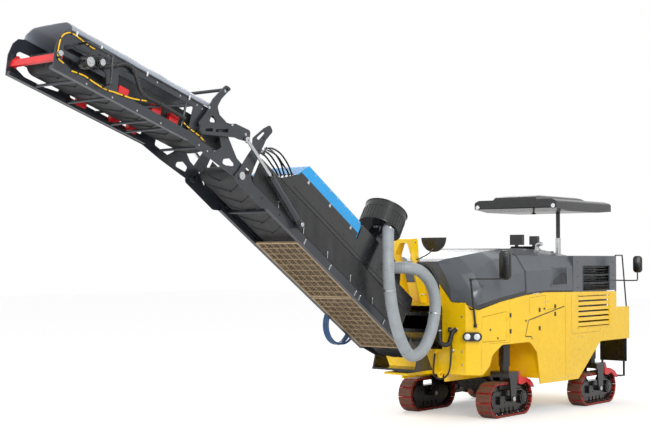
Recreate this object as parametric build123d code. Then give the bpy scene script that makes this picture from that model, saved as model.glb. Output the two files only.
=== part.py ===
from build123d import *
import math
import os

# Cold planer with a folding loading conveyor, in millimetres.
# X points forward, Y to the left, Z up. Until the last step X = 0 lies midway between
# the axles and Z = 0 is the ground.

# Ground line and undercarriage
WHEELBASE = 2466.0
TRACK_WIDTH = 266.0
TRACK_RADIUS = 281.0
TRACK_HALF_CONTACT = 384.0
SHOE_HEIGHT = 34.0
CHAIN_HEIGHT = 30.0
SHOE_COUNT = 20
SHOE_GAP = 26.0
RUNNING_GAP = 0.3
WHEEL_WIDTH = 90.0
ROLLER_RADIUS = 48.0
ROLLER_COUNT = 5
LEG_FRAME_WIDTH = 150.0
YOKE_CLEARANCE = 14.0
YOKE_CHEEK = 28.0
YOKE_TOP_PLATE = 90.0
YOKE_TOP = 722.0
YOKE_HALF_LENGTH = 150.0
YOKE_PIN_RADIUS = 46.0
FRONT_COLUMN_RADIUS = 92.0
REAR_COLUMN_RADIUS = 74.0
COLUMN_WALL = 14.0
COLUMN_SLIDE_GAP = 0.6
FRONT_TUBE_BOTTOM = 800.0
FRONT_TUBE_TOP = 1560.0
REAR_TUBE_BOTTOM = 790.0
REAR_TUBE_TOP = 1340.0
COLUMN_INSERT = 260.0
GUARD_THICKNESS = 10.0
GUARD_RISE = 50.0

# Body shell, with the tracks' gauges
HALF_WIDTH = 1130.0
FRONT_GAUGE = 2 * HALF_WIDTH - 750.0
REAR_GAUGE = 2 * HALF_WIDTH - 198.0
WALL = 20.0
X_REAR = -2510.0
X_WALL_FOLD = -255.0
X_CORNER = 2343.0
Y_CORNER = HALF_WIDTH - 145.0
X_FRONT = 2450.0
Y_FRONT = HALF_WIDTH - 330.0
SILL = 490.0
Z_ARCH = 1190.0
X_ARCH_REAR = 640.0
X_ARCH_FRONT = 2065.0
X_SILL_REAR = -566.0
X_REAR_CUT = -1376.0
Z_REAR_CUT = 1091.0
Z_BODY_FRONT = 741.0
Z_SHOULDER = 1958.0
Z_SHOULDER_MID = 1985.0
Z_NOSE_EDGE = 1857.0
Z_CORNER_EDGE = 1744.0
X_BOX_REAR = -2003.0
X_BOX_FRONT = -398.0
Z_BOX_TOP = 2590.0
Y_BOX_INNER = 330.0
Z_DECK = 1670.0
Z_PLATFORM = 1500.0
PANEL_GAP = 6.0

# Milling drum on the right-hand side
DRUM_X = 60.0
DRUM_Z = 660.0
DRUM_CUT_RADIUS = 490.0
DRUM_BODY_RADIUS = 400.0
DRUM_RIGHT = -HALF_WIDTH + 120.0
DRUM_LEFT = 130.0
PICK_HOLDER = 34.0
PICK_ROWS = 10
PICKS_PER_ROW = 6
HOUSING_CLEARANCE = 38.0
HOUSING_PLATE = 15.0
HOUSING_BOTTOM = 350.0
END_GAP = 8.0

# Hood
HOOD_SKIN = 12.0
X_HOOD_SEAM = 1050.0
HOOD_SEAM_GAP = 8.0
X_HOOD_HINGE = -392.0
HOOD_HINGE_Y = 700.0
HINGE_RADIUS = 14.0
Z_HOOD_HINGE = 2652.0

# Front end and slewing gear
SLEW_X = 2900.0
TONGUE_TOP = 790.0
TONGUE_FRONT = 3180.0
TONGUE_HALF = 220.0
SLEW_BEARING_RADIUS = TONGUE_HALF - 10
SLEW_BEARING_HEIGHT = 40.0
LIFT_X = 3050.0
LIFT_Z = 1060.0
LIFT_PIN_RADIUS = 40.0

# Lower conveyor section: s runs up the belt, n stands square on it
LOWER_X = 3468.0
LOWER_Z = 1200.8
LOWER_ANGLE = 32.94
LOWER_HALF_WIDTH = 450.0
CONVEYOR_PLATE = 10.0
GRILLE_HALF_WIDTH = 388.0
GRILLE_THICKNESS = 24.0
GRILLE_FRAME = 26.0
GRILLE_BAR = 10.0
GRILLE_PITCH = 130.0
BELT_HALF_WIDTH = 320.0
BELT_PULLEY = 130.0
LOWER_PULLEY = 100.0
SHAFT_RADIUS = 30.0
FOLD_X = 7130.0
FOLD_Z = 3600.0
FOLD_PIN_RADIUS = 38.0

# Upper conveyor section, measured from the fold pin
UPPER_ANGLE = 17.0
UPPER_HALF_WIDTH = 428.0
UPPER_LENGTH = 3232.0
UPPER_BOTTOM = 110.0
TARP_RISE = 130.0
TARP_THICKNESS = 12.0
TARP_START = 640.0
UPPER_TOP = 612.0

# Roof
ROOF_X_FRONT = -375.0
ROOF_LENGTH = 2035.0
ROOF_HALF_WIDTH = 830.0
ROOF_BOTTOM = 3372.0
ROOF_HEIGHT = 286.0
ROOF_EDGE = 205.0
ROOF_BROW = 395.0
POST_X = -1473.0
POST_Y = 250.0
POST_RADIUS = 50.0
POST_SHOW = 460.0
SLIDER_RADIUS = 38.0
SLIDER_LENGTH = 760.0
ROOF_DROP = 350.0

# Gap at a seat between two pieces that touch on the real machine
CLEAR = 0.3

# A rounded corner takes at most this share of its shorter side
FILLET_SHARE = 0.48


def block(x0, x1, y0, y1, z0, z1):
    """A box between two corners."""
    size = Box(x1 - x0, y1 - y0, z1 - z0)
    return Pos((x0 + x1) / 2, (y0 + y1) / 2, (z0 + z1) / 2) * size


def outline(points):
    """A flat face through (u, v) or (u, v, corner radius) points."""
    face = make_face(Polyline(*[(p[0], p[1]) for p in points], close=True))
    for i, p in enumerate(points):
        if len(p) == 3:
            here = Vector(p[0], p[1])
            back = here - Vector(*points[i - 1][:2])
            ahead = Vector(*points[(i + 1) % len(points)][:2]) - here
            turn = math.radians(back.get_angle(ahead))
            room = FILLET_SHARE * min(back.length, ahead.length) / math.tan(turn / 2)
            corner = face.vertices().sort_by_distance((p[0], p[1], 0))[0]
            face = fillet(corner, min(p[2], room))
    return face


def prism(points, y0, y1):
    """A side profile of (x, z) points, given thickness from y0 to y1."""
    solid = extrude(outline(points), amount=y1 - y0)
    return Plane.XZ * Pos(0, 0, -y1) * solid


def disc_y(x, z, radius, y0, y1):
    """A round bar along Y."""
    return Pos(x, (y0 + y1) / 2, z) * Rot(90, 0, 0) * Cylinder(radius, y1 - y0)


def disc_z(x, y, radius, z0, z1):
    """A round bar along Z."""
    return Pos(x, y, (z0 + z1) / 2) * Cylinder(radius, z1 - z0)


def rod(start, end, radius):
    """A round bar between two points."""
    a = Vector(*start)
    b = Vector(*end)
    length = (b - a).length
    return Plane(origin=a, z_dir=b - a) * Pos(0, 0, length / 2) * Cylinder(radius, length)


def mirrored(shape):
    """The same piece on the other side of the machine."""
    return mirror(shape, about=Plane.XZ)


def both_sides(shape):
    """A piece and its mirror image, as solids that don't touch."""
    return Compound(children=[*shape.solids(), *mirrored(shape).solids()])


def wall_y(x):
    """Outer face of the tapered side wall at x."""
    if x <= X_WALL_FOLD:
        return HALF_WIDTH
    taper = (HALF_WIDTH - Y_CORNER) / (X_CORNER - X_WALL_FOLD)
    return HALF_WIDTH - taper * (x - X_WALL_FOLD)


# Undercarriage: four steered legs, each with its track loop
FRONT_AXLE = WHEELBASE / 2
LEGS = {
    # name: (x, y, column radius, lower end of the column tube)
    "front_left": (FRONT_AXLE, FRONT_GAUGE / 2, FRONT_COLUMN_RADIUS, FRONT_TUBE_BOTTOM),
    "front_right": (FRONT_AXLE, -FRONT_GAUGE / 2, FRONT_COLUMN_RADIUS, FRONT_TUBE_BOTTOM),
    "rear_left": (-FRONT_AXLE, REAR_GAUGE / 2, REAR_COLUMN_RADIUS, REAR_TUBE_BOTTOM),
    "rear_right": (-FRONT_AXLE, -REAR_GAUGE / 2, REAR_COLUMN_RADIUS, REAR_TUBE_BOTTOM),
}
LOOP_INNER = TRACK_RADIUS - SHOE_HEIGHT - CHAIN_HEIGHT


def stadium(radius, half_length, width):
    """A track-shaped solid centred on the axle pin."""
    face = SlotCenterToCenter(2 * half_length, 2 * radius)
    return Plane.XZ * extrude(face, amount=width / 2, both=True)


def along_loop(distance):
    """Place on the loop's shoe line: x, z and the turn about Y in degrees."""
    straight = 2 * TRACK_HALF_CONTACT
    bend = math.pi * TRACK_RADIUS
    travel = distance % (2 * straight + 2 * bend)
    if travel < straight:
        return travel - TRACK_HALF_CONTACT, TRACK_RADIUS, 0.0
    travel -= straight
    if travel < bend:
        turn = travel / TRACK_RADIUS
        x = TRACK_HALF_CONTACT + TRACK_RADIUS * math.sin(turn)
        return x, TRACK_RADIUS * math.cos(turn), math.degrees(turn)
    travel -= bend
    if travel < straight:
        return TRACK_HALF_CONTACT - travel, -TRACK_RADIUS, 180.0
    travel -= straight
    turn = travel / TRACK_RADIUS
    x = -TRACK_HALF_CONTACT - TRACK_RADIUS * math.sin(turn)
    return x, -TRACK_RADIUS * math.cos(turn), 180.0 + math.degrees(turn)


def track_loop():
    """One closed loop with the gaps between its shoes."""
    loop = stadium(TRACK_RADIUS, TRACK_HALF_CONTACT, TRACK_WIDTH)
    loop -= stadium(LOOP_INNER, TRACK_HALF_CONTACT, TRACK_WIDTH + 2)
    length = 4 * TRACK_HALF_CONTACT + 2 * math.pi * TRACK_RADIUS
    gaps = []
    for i in range(SHOE_COUNT):
        x, z, turn = along_loop((i + 0.5) * length / SHOE_COUNT)
        notch = Box(SHOE_GAP, TRACK_WIDTH + 2, 2 * SHOE_HEIGHT)
        gaps.append(Pos(x, 0, z) * Rot(0, turn, 0) * notch)
    return loop - gaps


def leg_yoke(column_radius, tube_bottom):
    """Track frame, wheels and rollers, the yoke over them and the steering column."""
    wheel_radius = LOOP_INNER - RUNNING_GAP
    frame = stadium(0.62 * LOOP_INNER, TRACK_HALF_CONTACT, LEG_FRAME_WIDTH)
    for x in (-TRACK_HALF_CONTACT, TRACK_HALF_CONTACT):
        frame += disc_y(x, 0, wheel_radius, -WHEEL_WIDTH / 2, WHEEL_WIDTH / 2)
    frame += disc_y(-TRACK_HALF_CONTACT, 0, 0.5 * LOOP_INNER, 0, TRACK_WIDTH / 2 - 6)
    roller_z = -wheel_radius + ROLLER_RADIUS
    for i in range(ROLLER_COUNT):
        x = -TRACK_HALF_CONTACT + (i + 1) * 2 * TRACK_HALF_CONTACT / (ROLLER_COUNT + 1)
        frame += disc_y(x, roller_z, ROLLER_RADIUS, -WHEEL_WIDTH / 2, WHEEL_WIDTH / 2)
    cheek_in = TRACK_WIDTH / 2 + YOKE_CLEARANCE
    cheek_out = cheek_in + YOKE_CHEEK
    top = YOKE_TOP - TRACK_RADIUS
    under = top - YOKE_TOP_PLATE
    cheek = prism(
        [(-115, top), (115, top), (115, under), (70, 0), (70, -40, 30), (-70, -40, 30),
         (-70, 0), (-115, under)], cheek_in, cheek_out)
    yoke = cheek + mirrored(cheek)
    yoke += block(-YOKE_HALF_LENGTH, YOKE_HALF_LENGTH, -cheek_out, cheek_out, under, top)
    yoke += disc_y(0, 0, YOKE_PIN_RADIUS, -cheek_out - 8, cheek_out + 8)
    column_top = tube_bottom + COLUMN_INSERT - TRACK_RADIUS
    inner_radius = column_radius - COLUMN_WALL - COLUMN_SLIDE_GAP
    yoke += disc_z(0, 0, inner_radius, top - 5, column_top)
    return frame + yoke


def track_guard():
    """Angular guard over the rear end of a loop, carried by the yoke's top plate."""
    half = TRACK_WIDTH / 2 + YOKE_CLEARANCE + YOKE_CHEEK
    seat = -YOKE_HALF_LENGTH - CLEAR
    end = -TRACK_HALF_CONTACT
    crest = TRACK_RADIUS + GUARD_RISE
    t = GUARD_THICKNESS
    bends = [(end + 30, crest), (end - 130, crest - 50), (end - 222, crest - 115), (end - 265, crest - 186)]
    inner = [(x + t, z - t) for x, z in reversed(bends[:-1])]
    roof = prism([(seat, crest)] + bends + [(end - 265 + t, crest - 186)] + inner + [(seat, crest - t)], -half, half)
    lug_top = YOKE_TOP - TRACK_RADIUS
    side = prism([(seat, lug_top), (seat, 235, 30), (end + 120, 215, 40), (end - 20, 250, 40),
                  (end - 150, 170, 40)] + bends[::-1] + [(seat - 90, crest), (seat - 30, lug_top)],
                 half - YOKE_CHEEK, half)
    return roof + side


# Side walls, doors and the welded frame
def body_ring():
    """The body's plan outline as one upright wall."""
    half = [(X_REAR, HALF_WIDTH), (X_WALL_FOLD, HALF_WIDTH), (X_CORNER, Y_CORNER),
            (X_FRONT, Y_FRONT)]
    plan = half + [(x, -y) for x, y in reversed(half)]
    face = outline(plan)
    inner = offset(face, amount=-WALL, kind=Kind.INTERSECTION)
    height = Z_SHOULDER_MID - SILL + 40
    return Pos(0, 0, SILL - 20) * extrude(face - inner, amount=height)


WALL_PROFILE = [
    (X_FRONT + 10, Z_BODY_FRONT), (X_CORNER - 100, Z_BODY_FRONT, 60), (X_ARCH_FRONT, 866, 60),
    (X_ARCH_FRONT - 70, 1030, 120), (X_ARCH_FRONT - 340, Z_ARCH - 8, 200),
    (X_ARCH_REAR + 290, Z_ARCH, 200), (X_ARCH_REAR + 90, 1000, 100), (X_ARCH_REAR, SILL),
    (X_SILL_REAR, SILL), (X_REAR_CUT, Z_REAR_CUT, 150), (X_REAR - 10, Z_REAR_CUT),
    (X_REAR - 10, Z_DECK), (X_BOX_REAR, Z_DECK), (X_BOX_REAR, Z_SHOULDER),
    (X_BOX_FRONT, Z_SHOULDER + 17), (485, Z_SHOULDER_MID), (1075, 1948), (1780, 1855),
    (X_CORNER, Z_CORNER_EDGE), (2415, Z_CORNER_EDGE + 4), (X_FRONT, Z_NOSE_EDGE),
    (X_FRONT + 10, Z_NOSE_EDGE),
]
DOOR_REAR = 1600.0
DOOR_FRONT = 2270.0
DOOR_BOTTOM = 1250.0
DOOR_TOP = 1700.0
DOOR_TOP_DROP = 70.0
LOUVRE_X0 = -1722.0
LOUVRE_X1 = -570.0
LOUVRE_Z0 = 1365.0
LOUVRE_Z1 = 1900.0
LOUVRE_COUNT = 6
LOUVRE_SLAT = 8.0
LOUVRE_DEPTH = 62.0
LOUVRE_TILT = -72.0


WALL_TAPER = -math.degrees(math.atan2(HALF_WIDTH - Y_CORNER, X_CORNER - X_WALL_FOLD))
KNUCKLE_RADIUS = 9.0
DOOR_HINGE = (DOOR_REAR - PANEL_GAP / 2, wall_y(DOOR_REAR) + KNUCKLE_RADIUS + CLEAR)


def door_outline(gap):
    """The service door's outline, grown by a gap for its opening."""
    return [(DOOR_REAR - gap, DOOR_BOTTOM - gap, 30), (DOOR_FRONT + gap, DOOR_BOTTOM - gap, 30),
            (DOOR_FRONT + gap, DOOR_TOP - DOOR_TOP_DROP + gap, 30),
            (DOOR_REAR - gap, DOOR_TOP + gap, 30)]


def louvre_slats(x0, x1, z0, z1, count, y_out):
    """Sloping slats across an opening, open between each other."""
    slats = []
    step = (z1 - z0) / count
    lean = math.radians(LOUVRE_TILT)
    reach = (LOUVRE_DEPTH * math.cos(lean) - LOUVRE_SLAT * math.sin(lean)) / 2
    for i in range(count):
        z = z0 + (i + 0.5) * step
        slat = Box(x1 - x0, LOUVRE_DEPTH, LOUVRE_SLAT)
        slats.append(Pos((x0 + x1) / 2, y_out - reach, z) * Rot(LOUVRE_TILT, 0, 0) * slat)
    return slats


def side_wall():
    """The left side wall with its arch, door opening and louvres."""
    wall = body_ring() & prism(WALL_PROFILE, Y_FRONT, HALF_WIDTH + 10)
    wall -= block(X_REAR - 1, X_REAR + WALL, 0, HALF_WIDTH - WALL, 0, 3000)
    wall -= prism(door_outline(PANEL_GAP), Y_FRONT, HALF_WIDTH + 10)
    wall -= block(LOUVRE_X0, LOUVRE_X1, HALF_WIDTH - WALL - 5, HALF_WIDTH + 5, LOUVRE_Z0, LOUVRE_Z1)
    wall += louvre_slats(LOUVRE_X0, LOUVRE_X1, LOUVRE_Z0, LOUVRE_Z1, LOUVRE_COUNT, HALF_WIDTH)
    return wall


def side_door():
    """The left service door, flush with the wall, with its two hinge knuckles."""
    door = body_ring() & prism(door_outline(0), Y_FRONT, HALF_WIDTH + 10)
    x, y = DOOR_HINGE
    for z in (DOOR_BOTTOM + 100, DOOR_TOP - 100):
        door += disc_z(x, y, KNUCKLE_RADIUS, z - 30, z + 30)
        leaf = Pos(x + 22, y - 8, z) * Rot(0, 0, WALL_TAPER) * Box(44, 10, 50)
        door += leaf
    return door


BEAM_IN = 392.0
BEAM_OUT = 432.0
BEAM_BOTTOM = 620.0
BEAM_TOP = 1180.0
REAR_BEAM_TOP = 1478.0
FRAME_PLATE = 16.0
WINDOW_HALF = 370.0
WINDOW_BOTTOM = 1120.0
WINDOW_TOP = 1800.0
PEAK_FOOT_Y = 542.0
PEAK_TOP_Y = 297.0
PEAK_TOP = 2162.0


LASHING_BORE = 27.0
LASHING_EDGE = 30.0
LASHING_PLATE = 30.0
LASHING_EYES = {
    # place: x and z of the bore, y of the plate's inner face
    "front": (X_FRONT + 45, 345.0, Z_BODY_FRONT - 12),
    "rear": (X_REAR + 110, 300.0, Z_REAR_CUT - 55),
}


def lashing_eye(x, y, z, upright_seat):
    """A tie-down plate with its bore, grown from an upright or a level seat."""
    reach = LASHING_BORE + LASHING_EDGE
    eye = disc_y(x, z, reach, y, y + LASHING_PLATE)
    if upright_seat:
        eye += block(X_FRONT - 1, x, y, y + LASHING_PLATE, z - reach, z + reach)
    else:
        eye += block(x - reach, x + reach, y, y + LASHING_PLATE, z, Z_REAR_CUT + 3)
    return eye - disc_y(x, z, LASHING_BORE, y - 1, y + LASHING_PLATE + 1)


def corner_plate():
    """Sloping plate that closes the body's front corner beside the hood."""
    x = X_FRONT - WALL / 2
    inset = WALL + CLEAR
    points = [(x, PEAK_FOOT_Y, Z_NOSE_EDGE - 17), (x, Y_FRONT - 26, Z_NOSE_EDGE - 17),
              (X_CORNER - inset, Y_CORNER - inset, Z_CORNER_EDGE - 9)]
    return extrude(make_face(Polyline(*points, close=True)), amount=FRAME_PLATE / 2, dir=(0, 0, -1))


FRONT_HOSE_RADIUS = 14.0
FRONT_HOSE = [
    (2480.0, 560.0, 1300.0), (2490.0, 567.0, 1130.0), (2512.0, 570.0, 940.0), (2548.0, 567.0, 788.0),
    (2568.0, 525.0, 715.0), (2578.0, 452.0, 673.0), (2578.0, 368.0, 673.0), (2565.0, 295.0, 715.0),
    (2530.0, 253.0, 788.0), (2500.0, 250.0, 930.0), (2480.0, 250.0, 1050.0),
]
FRONT_GLANDS = (FRONT_HOSE[0], FRONT_HOSE[-1])
GLAND_GAP = 3.0
BEND_SHARE = 0.45


def hose_tube(name, points, radius):
    """A hose's tube along its runs, every corner rounded by a share of its shorter run."""
    corners = [Vector(*p) for p in points]
    bends = []
    for back, here, ahead in zip(corners, corners[1:], corners[2:]):
        turn = math.radians((here - back).get_angle(ahead - here))
        shorter = min((here - back).length, (ahead - here).length)
        bends.append(BEND_SHARE * shorter / math.tan(turn / 2))
    path = FilletPolyline(*corners, radius=bends)
    tube = sweep(Plane(origin=corners[0], z_dir=corners[1] - corners[0]) * Circle(radius), path=path)
    print(name, "bends", [round(b) for b in bends], "length", round(path.length),
          "volume against section x length", round(tube.volume / (math.pi * radius ** 2 * path.length), 4))
    return tube


def gland(x, y, z):
    """Small clamp block on the front plate, from whose lower face a hose hangs."""
    return block(X_FRONT - 1, x + 22, y - 20, y + 20, z + GLAND_GAP, z + GLAND_GAP + 60)


def front_hose():
    """Black hose that hangs in a loop before the front plate."""
    return hose_tube("front_hose", FRONT_HOSE, FRONT_HOSE_RADIUS)


BUNDLE_RADIUS = 38.0
BUNDLE_PATH = [
    (X_FRONT + CLEAR, 630.0, 1440.0), (2532.0, 617.0, 1395.0), (2560.0, 600.0, 1290.0), (2579.0, 584.0, 1230.0),
    (2625.0, 545.0, 1205.0), (2671.0, 506.0, 1230.0), (2690.0, 490.0, 1290.0), (2702.0, 478.0, 1560.0),
    (2706.0, 470.0, 1850.0), (2716.0, 440.0, 2200.0), (2775.0, 350.0, 2400.0), (2840.0, 240.0, 2448.0),
    (2860.0, 176.0 + CLEAR, 2450.0),
]


def hose_bundle():
    """Thick sleeved hose bundle from the yellow bracket down to the front plate."""
    path = Spline(*[Vector(*p) for p in BUNDLE_PATH], tangents=(Vector(1, 0, 0), Vector(0, -1, 0)),
                  tangent_scalars=(1, 1))
    return sweep(Plane(origin=path @ 0, z_dir=path % 0) * Circle(BUNDLE_RADIUS), path=path)


def main_frame():
    """Welded frame: beams, front plate, tongue, wheel wells and bulkheads."""
    beams = block(X_ARCH_REAR, X_FRONT - WALL, BEAM_IN, BEAM_OUT, BEAM_BOTTOM, BEAM_TOP)
    shelf_plan = [(X_ARCH_REAR, BEAM_OUT), (X_ARCH_FRONT, BEAM_OUT),
                  (X_ARCH_FRONT, wall_y(X_ARCH_FRONT) - WALL - CLEAR),
                  (X_ARCH_REAR, wall_y(X_ARCH_REAR) - WALL - CLEAR)]
    shelf = Pos(0, 0, Z_ARCH + 4) * extrude(outline(shelf_plan), amount=FRAME_PLATE)
    beams += shelf
    beams += block(X_ARCH_REAR, X_ARCH_REAR + FRAME_PLATE, BEAM_IN,
                   wall_y(X_ARCH_REAR + FRAME_PLATE) - WALL - CLEAR, SILL + 90, Z_ARCH + 10)
    beams += block(X_ARCH_FRONT, X_ARCH_FRONT + FRAME_PLATE, BEAM_IN,
                   wall_y(X_ARCH_FRONT + FRAME_PLATE) - WALL - CLEAR, 870, Z_ARCH + 20)
    beams += block(X_ARCH_REAR, X_FRONT - WALL, BEAM_IN, BEAM_OUT, BEAM_TOP, Z_ARCH + 20)
    well = prism([(X_SILL_REAR, SILL + 2), (X_REAR_CUT, Z_REAR_CUT + 2), (X_REAR + WALL, Z_REAR_CUT + 2),
                  (X_REAR + WALL, Z_REAR_CUT + 18), (X_REAR_CUT + 8, Z_REAR_CUT + 18),
                  (X_SILL_REAR + 8, SILL + 18)], 0, HALF_WIDTH - WALL - CLEAR)
    beams += well
    rear_beam = prism([(X_BOX_REAR + CLEAR, 1100), (X_REAR_CUT + 10, 1100), (-640, 1216), (600, 1216),
                       (X_ARCH_REAR, 1150), (X_ARCH_REAR + FRAME_PLATE, 1150),
                       (X_ARCH_REAR + FRAME_PLATE, REAR_BEAM_TOP), (X_BOX_REAR + CLEAR, REAR_BEAM_TOP)],
                      BEAM_IN, BEAM_OUT)
    beams += rear_beam
    frame = beams + mirrored(beams)
    saddle = DRUM_Z + DRUM_CUT_RADIUS + HOUSING_CLEARANCE + HOUSING_PLATE + CLEAR
    frame += block(DRUM_X - 60, DRUM_X + 60, -BEAM_OUT, BEAM_OUT, saddle, saddle + 90)
    edge = Y_FRONT - CLEAR
    half = [(edge, Z_BODY_FRONT), (edge, Z_NOSE_EDGE), (PEAK_FOOT_Y, Z_NOSE_EDGE), (PEAK_TOP_Y, PEAK_TOP)]
    shape = outline(half + [(-y, z) for y, z in reversed(half)])
    front = Plane.YZ.offset(X_FRONT - WALL) * extrude(shape, amount=WALL)
    front -= block(X_FRONT - 2 * WALL, X_FRONT + 1, -WINDOW_HALF, WINDOW_HALF, WINDOW_BOTTOM, WINDOW_TOP)
    frame += front
    tongue = prism([(X_ARCH_FRONT, 735), (TONGUE_FRONT, 750, 60), (TONGUE_FRONT, TONGUE_TOP, 20),
                    (X_ARCH_FRONT, TONGUE_TOP)], -TONGUE_HALF, TONGUE_HALF)
    tongue += block(X_ARCH_FRONT, X_FRONT, -BEAM_OUT, BEAM_OUT, 735, TONGUE_TOP)
    frame += tongue
    corner = corner_plate()
    frame += corner
    frame += mirrored(corner)
    for place in FRONT_GLANDS:
        frame += gland(*place)
    for place, eye in LASHING_EYES.items():
        plate = lashing_eye(*eye, place == "front")
        frame += plate
        frame += mirrored(plate)
    for x, y, radius, bottom in LEGS.values():
        frame -= disc_z(x, y, radius + CLEAR, bottom - 200, 2000)
    return frame


def column_tubes():
    """The four fixed outer tubes in which the legs turn."""
    tubes = []
    for x, y, radius, bottom in LEGS.values():
        top = FRONT_TUBE_TOP if x > 0 else REAR_TUBE_TOP
        tube = disc_z(x, y, radius, bottom, top)
        tube -= disc_z(x, y, radius - COLUMN_WALL, bottom - 1, bottom + COLUMN_INSERT + 10)
        tubes.extend(tube.solids())
    return Compound(children=tubes)


# Hood, rear box, platform
HOOD_SECTIONS = [
    # x, base half width, base z, waist half width, waist z, shoulder half width, shoulder z, crest half width, top z
    (X_FRONT, 545, 1868, 527, 2056, 430, 2274, 285, 2494),
    (X_CORNER, Y_CORNER, 1755, 860, 2010, 650, 2300, 400, 2545),
    (2230, wall_y(2230) - 1, 1782, 950, 2080, 800, 2328, 540, 2575),
    (1745, wall_y(1745), 1868, wall_y(1745) - 10, 2240, 850, 2527, 640, 2645),
    (X_HOOD_SEAM, wall_y(X_HOOD_SEAM), 1958, wall_y(X_HOOD_SEAM) - 10, 2330, 880, 2590, 560, 2700),
    (485, wall_y(485), 1993, wall_y(485) - 10, 2350, 960, 2590, 560, 2712),
    (X_BOX_FRONT, HALF_WIDTH, 1983, HALF_WIDTH - 8, 2400, 1060, Z_BOX_TOP - 5, 560, 2690),
]


def hood_section(row, inset):
    """One cross-section of the hood, pulled in by the skin for the inside."""
    place, base, base_z, waist, waist_z, shoulder, shoulder_z, crest, top_z = row
    drop = 60 * inset / HOOD_SKIN
    half = [(base - inset, base_z - drop), (waist - inset, waist_z),
            (shoulder - inset, shoulder_z - inset), (crest, top_z - inset)]
    points = half + [(-y, z) for y, z in reversed(half)]
    return Plane.YZ.offset(place) * outline(points)


def hood_shell(rows, x_back, x_front):
    """A hollow hood through some of the sections, open below."""
    outer = loft([hood_section(row, 0) for row in rows], ruled=True)
    inner = loft([hood_section(row, HOOD_SKIN) for row in rows], ruled=True)
    inner &= block(x_back - 50, x_front, -2000, 2000, 0, 4000)
    return (outer - inner) & block(x_back, X_FRONT + 1, -2000, 2000, 0, 4000)


def hood_front():
    """The opening front hood."""
    shell = hood_shell(HOOD_SECTIONS[:5], X_HOOD_SEAM + CLEAR, X_FRONT - HOOD_SKIN)
    gap = HOOD_SEAM_GAP
    half = [(Y_FRONT, 0), (Y_FRONT, Z_NOSE_EDGE + gap), (PEAK_FOOT_Y + 2 * gap, Z_NOSE_EDGE + gap),
            (PEAK_TOP_Y + gap, PEAK_TOP + gap)]
    shape = outline(half + [(-y, z) for y, z in reversed(half)])
    shell -= Plane.YZ.offset(X_FRONT - 2 * WALL) * extrude(shape, amount=3 * WALL)
    return shell


def hood_mid():
    """The hood's rear moulding, with its hinge knuckles."""
    shell = hood_shell(HOOD_SECTIONS[4:], X_BOX_FRONT + HOOD_SEAM_GAP, X_HOOD_SEAM + 50)
    shell &= block(X_BOX_FRONT + HOOD_SEAM_GAP, X_HOOD_SEAM, -2000, 2000, 0, 4000)
    for y in (-HOOD_HINGE_Y, HOOD_HINGE_Y):
        shell -= block(X_BOX_FRONT, X_HOOD_HINGE + 22, y - 52, y + 52, Z_BOX_TOP - 70, Z_HOOD_HINGE + 40)
        shell += disc_y(X_HOOD_HINGE, Z_HOOD_HINGE, HINGE_RADIUS, y - 30, y + 30)
        shell += block(X_HOOD_HINGE, X_HOOD_HINGE + 60, y - 30, y + 30, 2585, Z_HOOD_HINGE + 6)
    return shell


BOX_LOUVRES = [
    # x0, x1, z0, z1
    (-1729.0, -755.0, 2270.0, 2411.0),
    (-1729.0, -755.0, 2130.0, 2255.0),
    (-1729.0, -755.0, 1995.0, 2115.0),
]


def hinge_ears(y):
    """Two ears on the bulkhead, one on each side of a hood knuckle."""
    ears = []
    for side in (-1, 1):
        inner = y + side * (30 + CLEAR)
        outer = inner + side * 16
        ears.append(block(X_BOX_FRONT - WALL, X_HOOD_HINGE + 16, min(inner, outer), max(inner, outer),
                          Z_BOX_TOP - 60, Z_HOOD_HINGE + 16))
    return ears


def rear_box():
    """Grey cooler box on the left, with its slots."""
    box = block(X_BOX_REAR, X_BOX_FRONT, Y_BOX_INNER, HALF_WIDTH, Z_SHOULDER + 18, Z_BOX_TOP)
    box -= block(X_BOX_REAR + WALL, X_BOX_FRONT - WALL, Y_BOX_INNER + WALL, HALF_WIDTH - WALL,
                 Z_SHOULDER, Z_BOX_TOP - WALL)
    for x0, x1, z0, z1 in BOX_LOUVRES:
        box -= block(x0, x1, HALF_WIDTH - 2 * WALL, HALF_WIDTH + 1, z0, z1)
    return box + hinge_ears(HOOD_HINGE_Y)


def cooler():
    """The radiator block behind the louvres."""
    return block(X_BOX_REAR + 120, X_BOX_FRONT - 120, BEAM_IN, HALF_WIDTH - 130,
                 REAR_BEAM_TOP + CLEAR, Z_BOX_TOP - 120)


def rear_deck():
    """Rear tank block whose top is the walkway."""
    deck = prism([(X_REAR, Z_REAR_CUT + 20), (X_REAR, Z_DECK - 60, 40), (X_REAR + 60, Z_DECK, 40),
                  (X_BOX_REAR - CLEAR, Z_DECK), (X_BOX_REAR - CLEAR, Z_REAR_CUT + 20)],
                 -HALF_WIDTH + WALL + CLEAR, HALF_WIDTH - WALL - CLEAR)
    return deck


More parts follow.
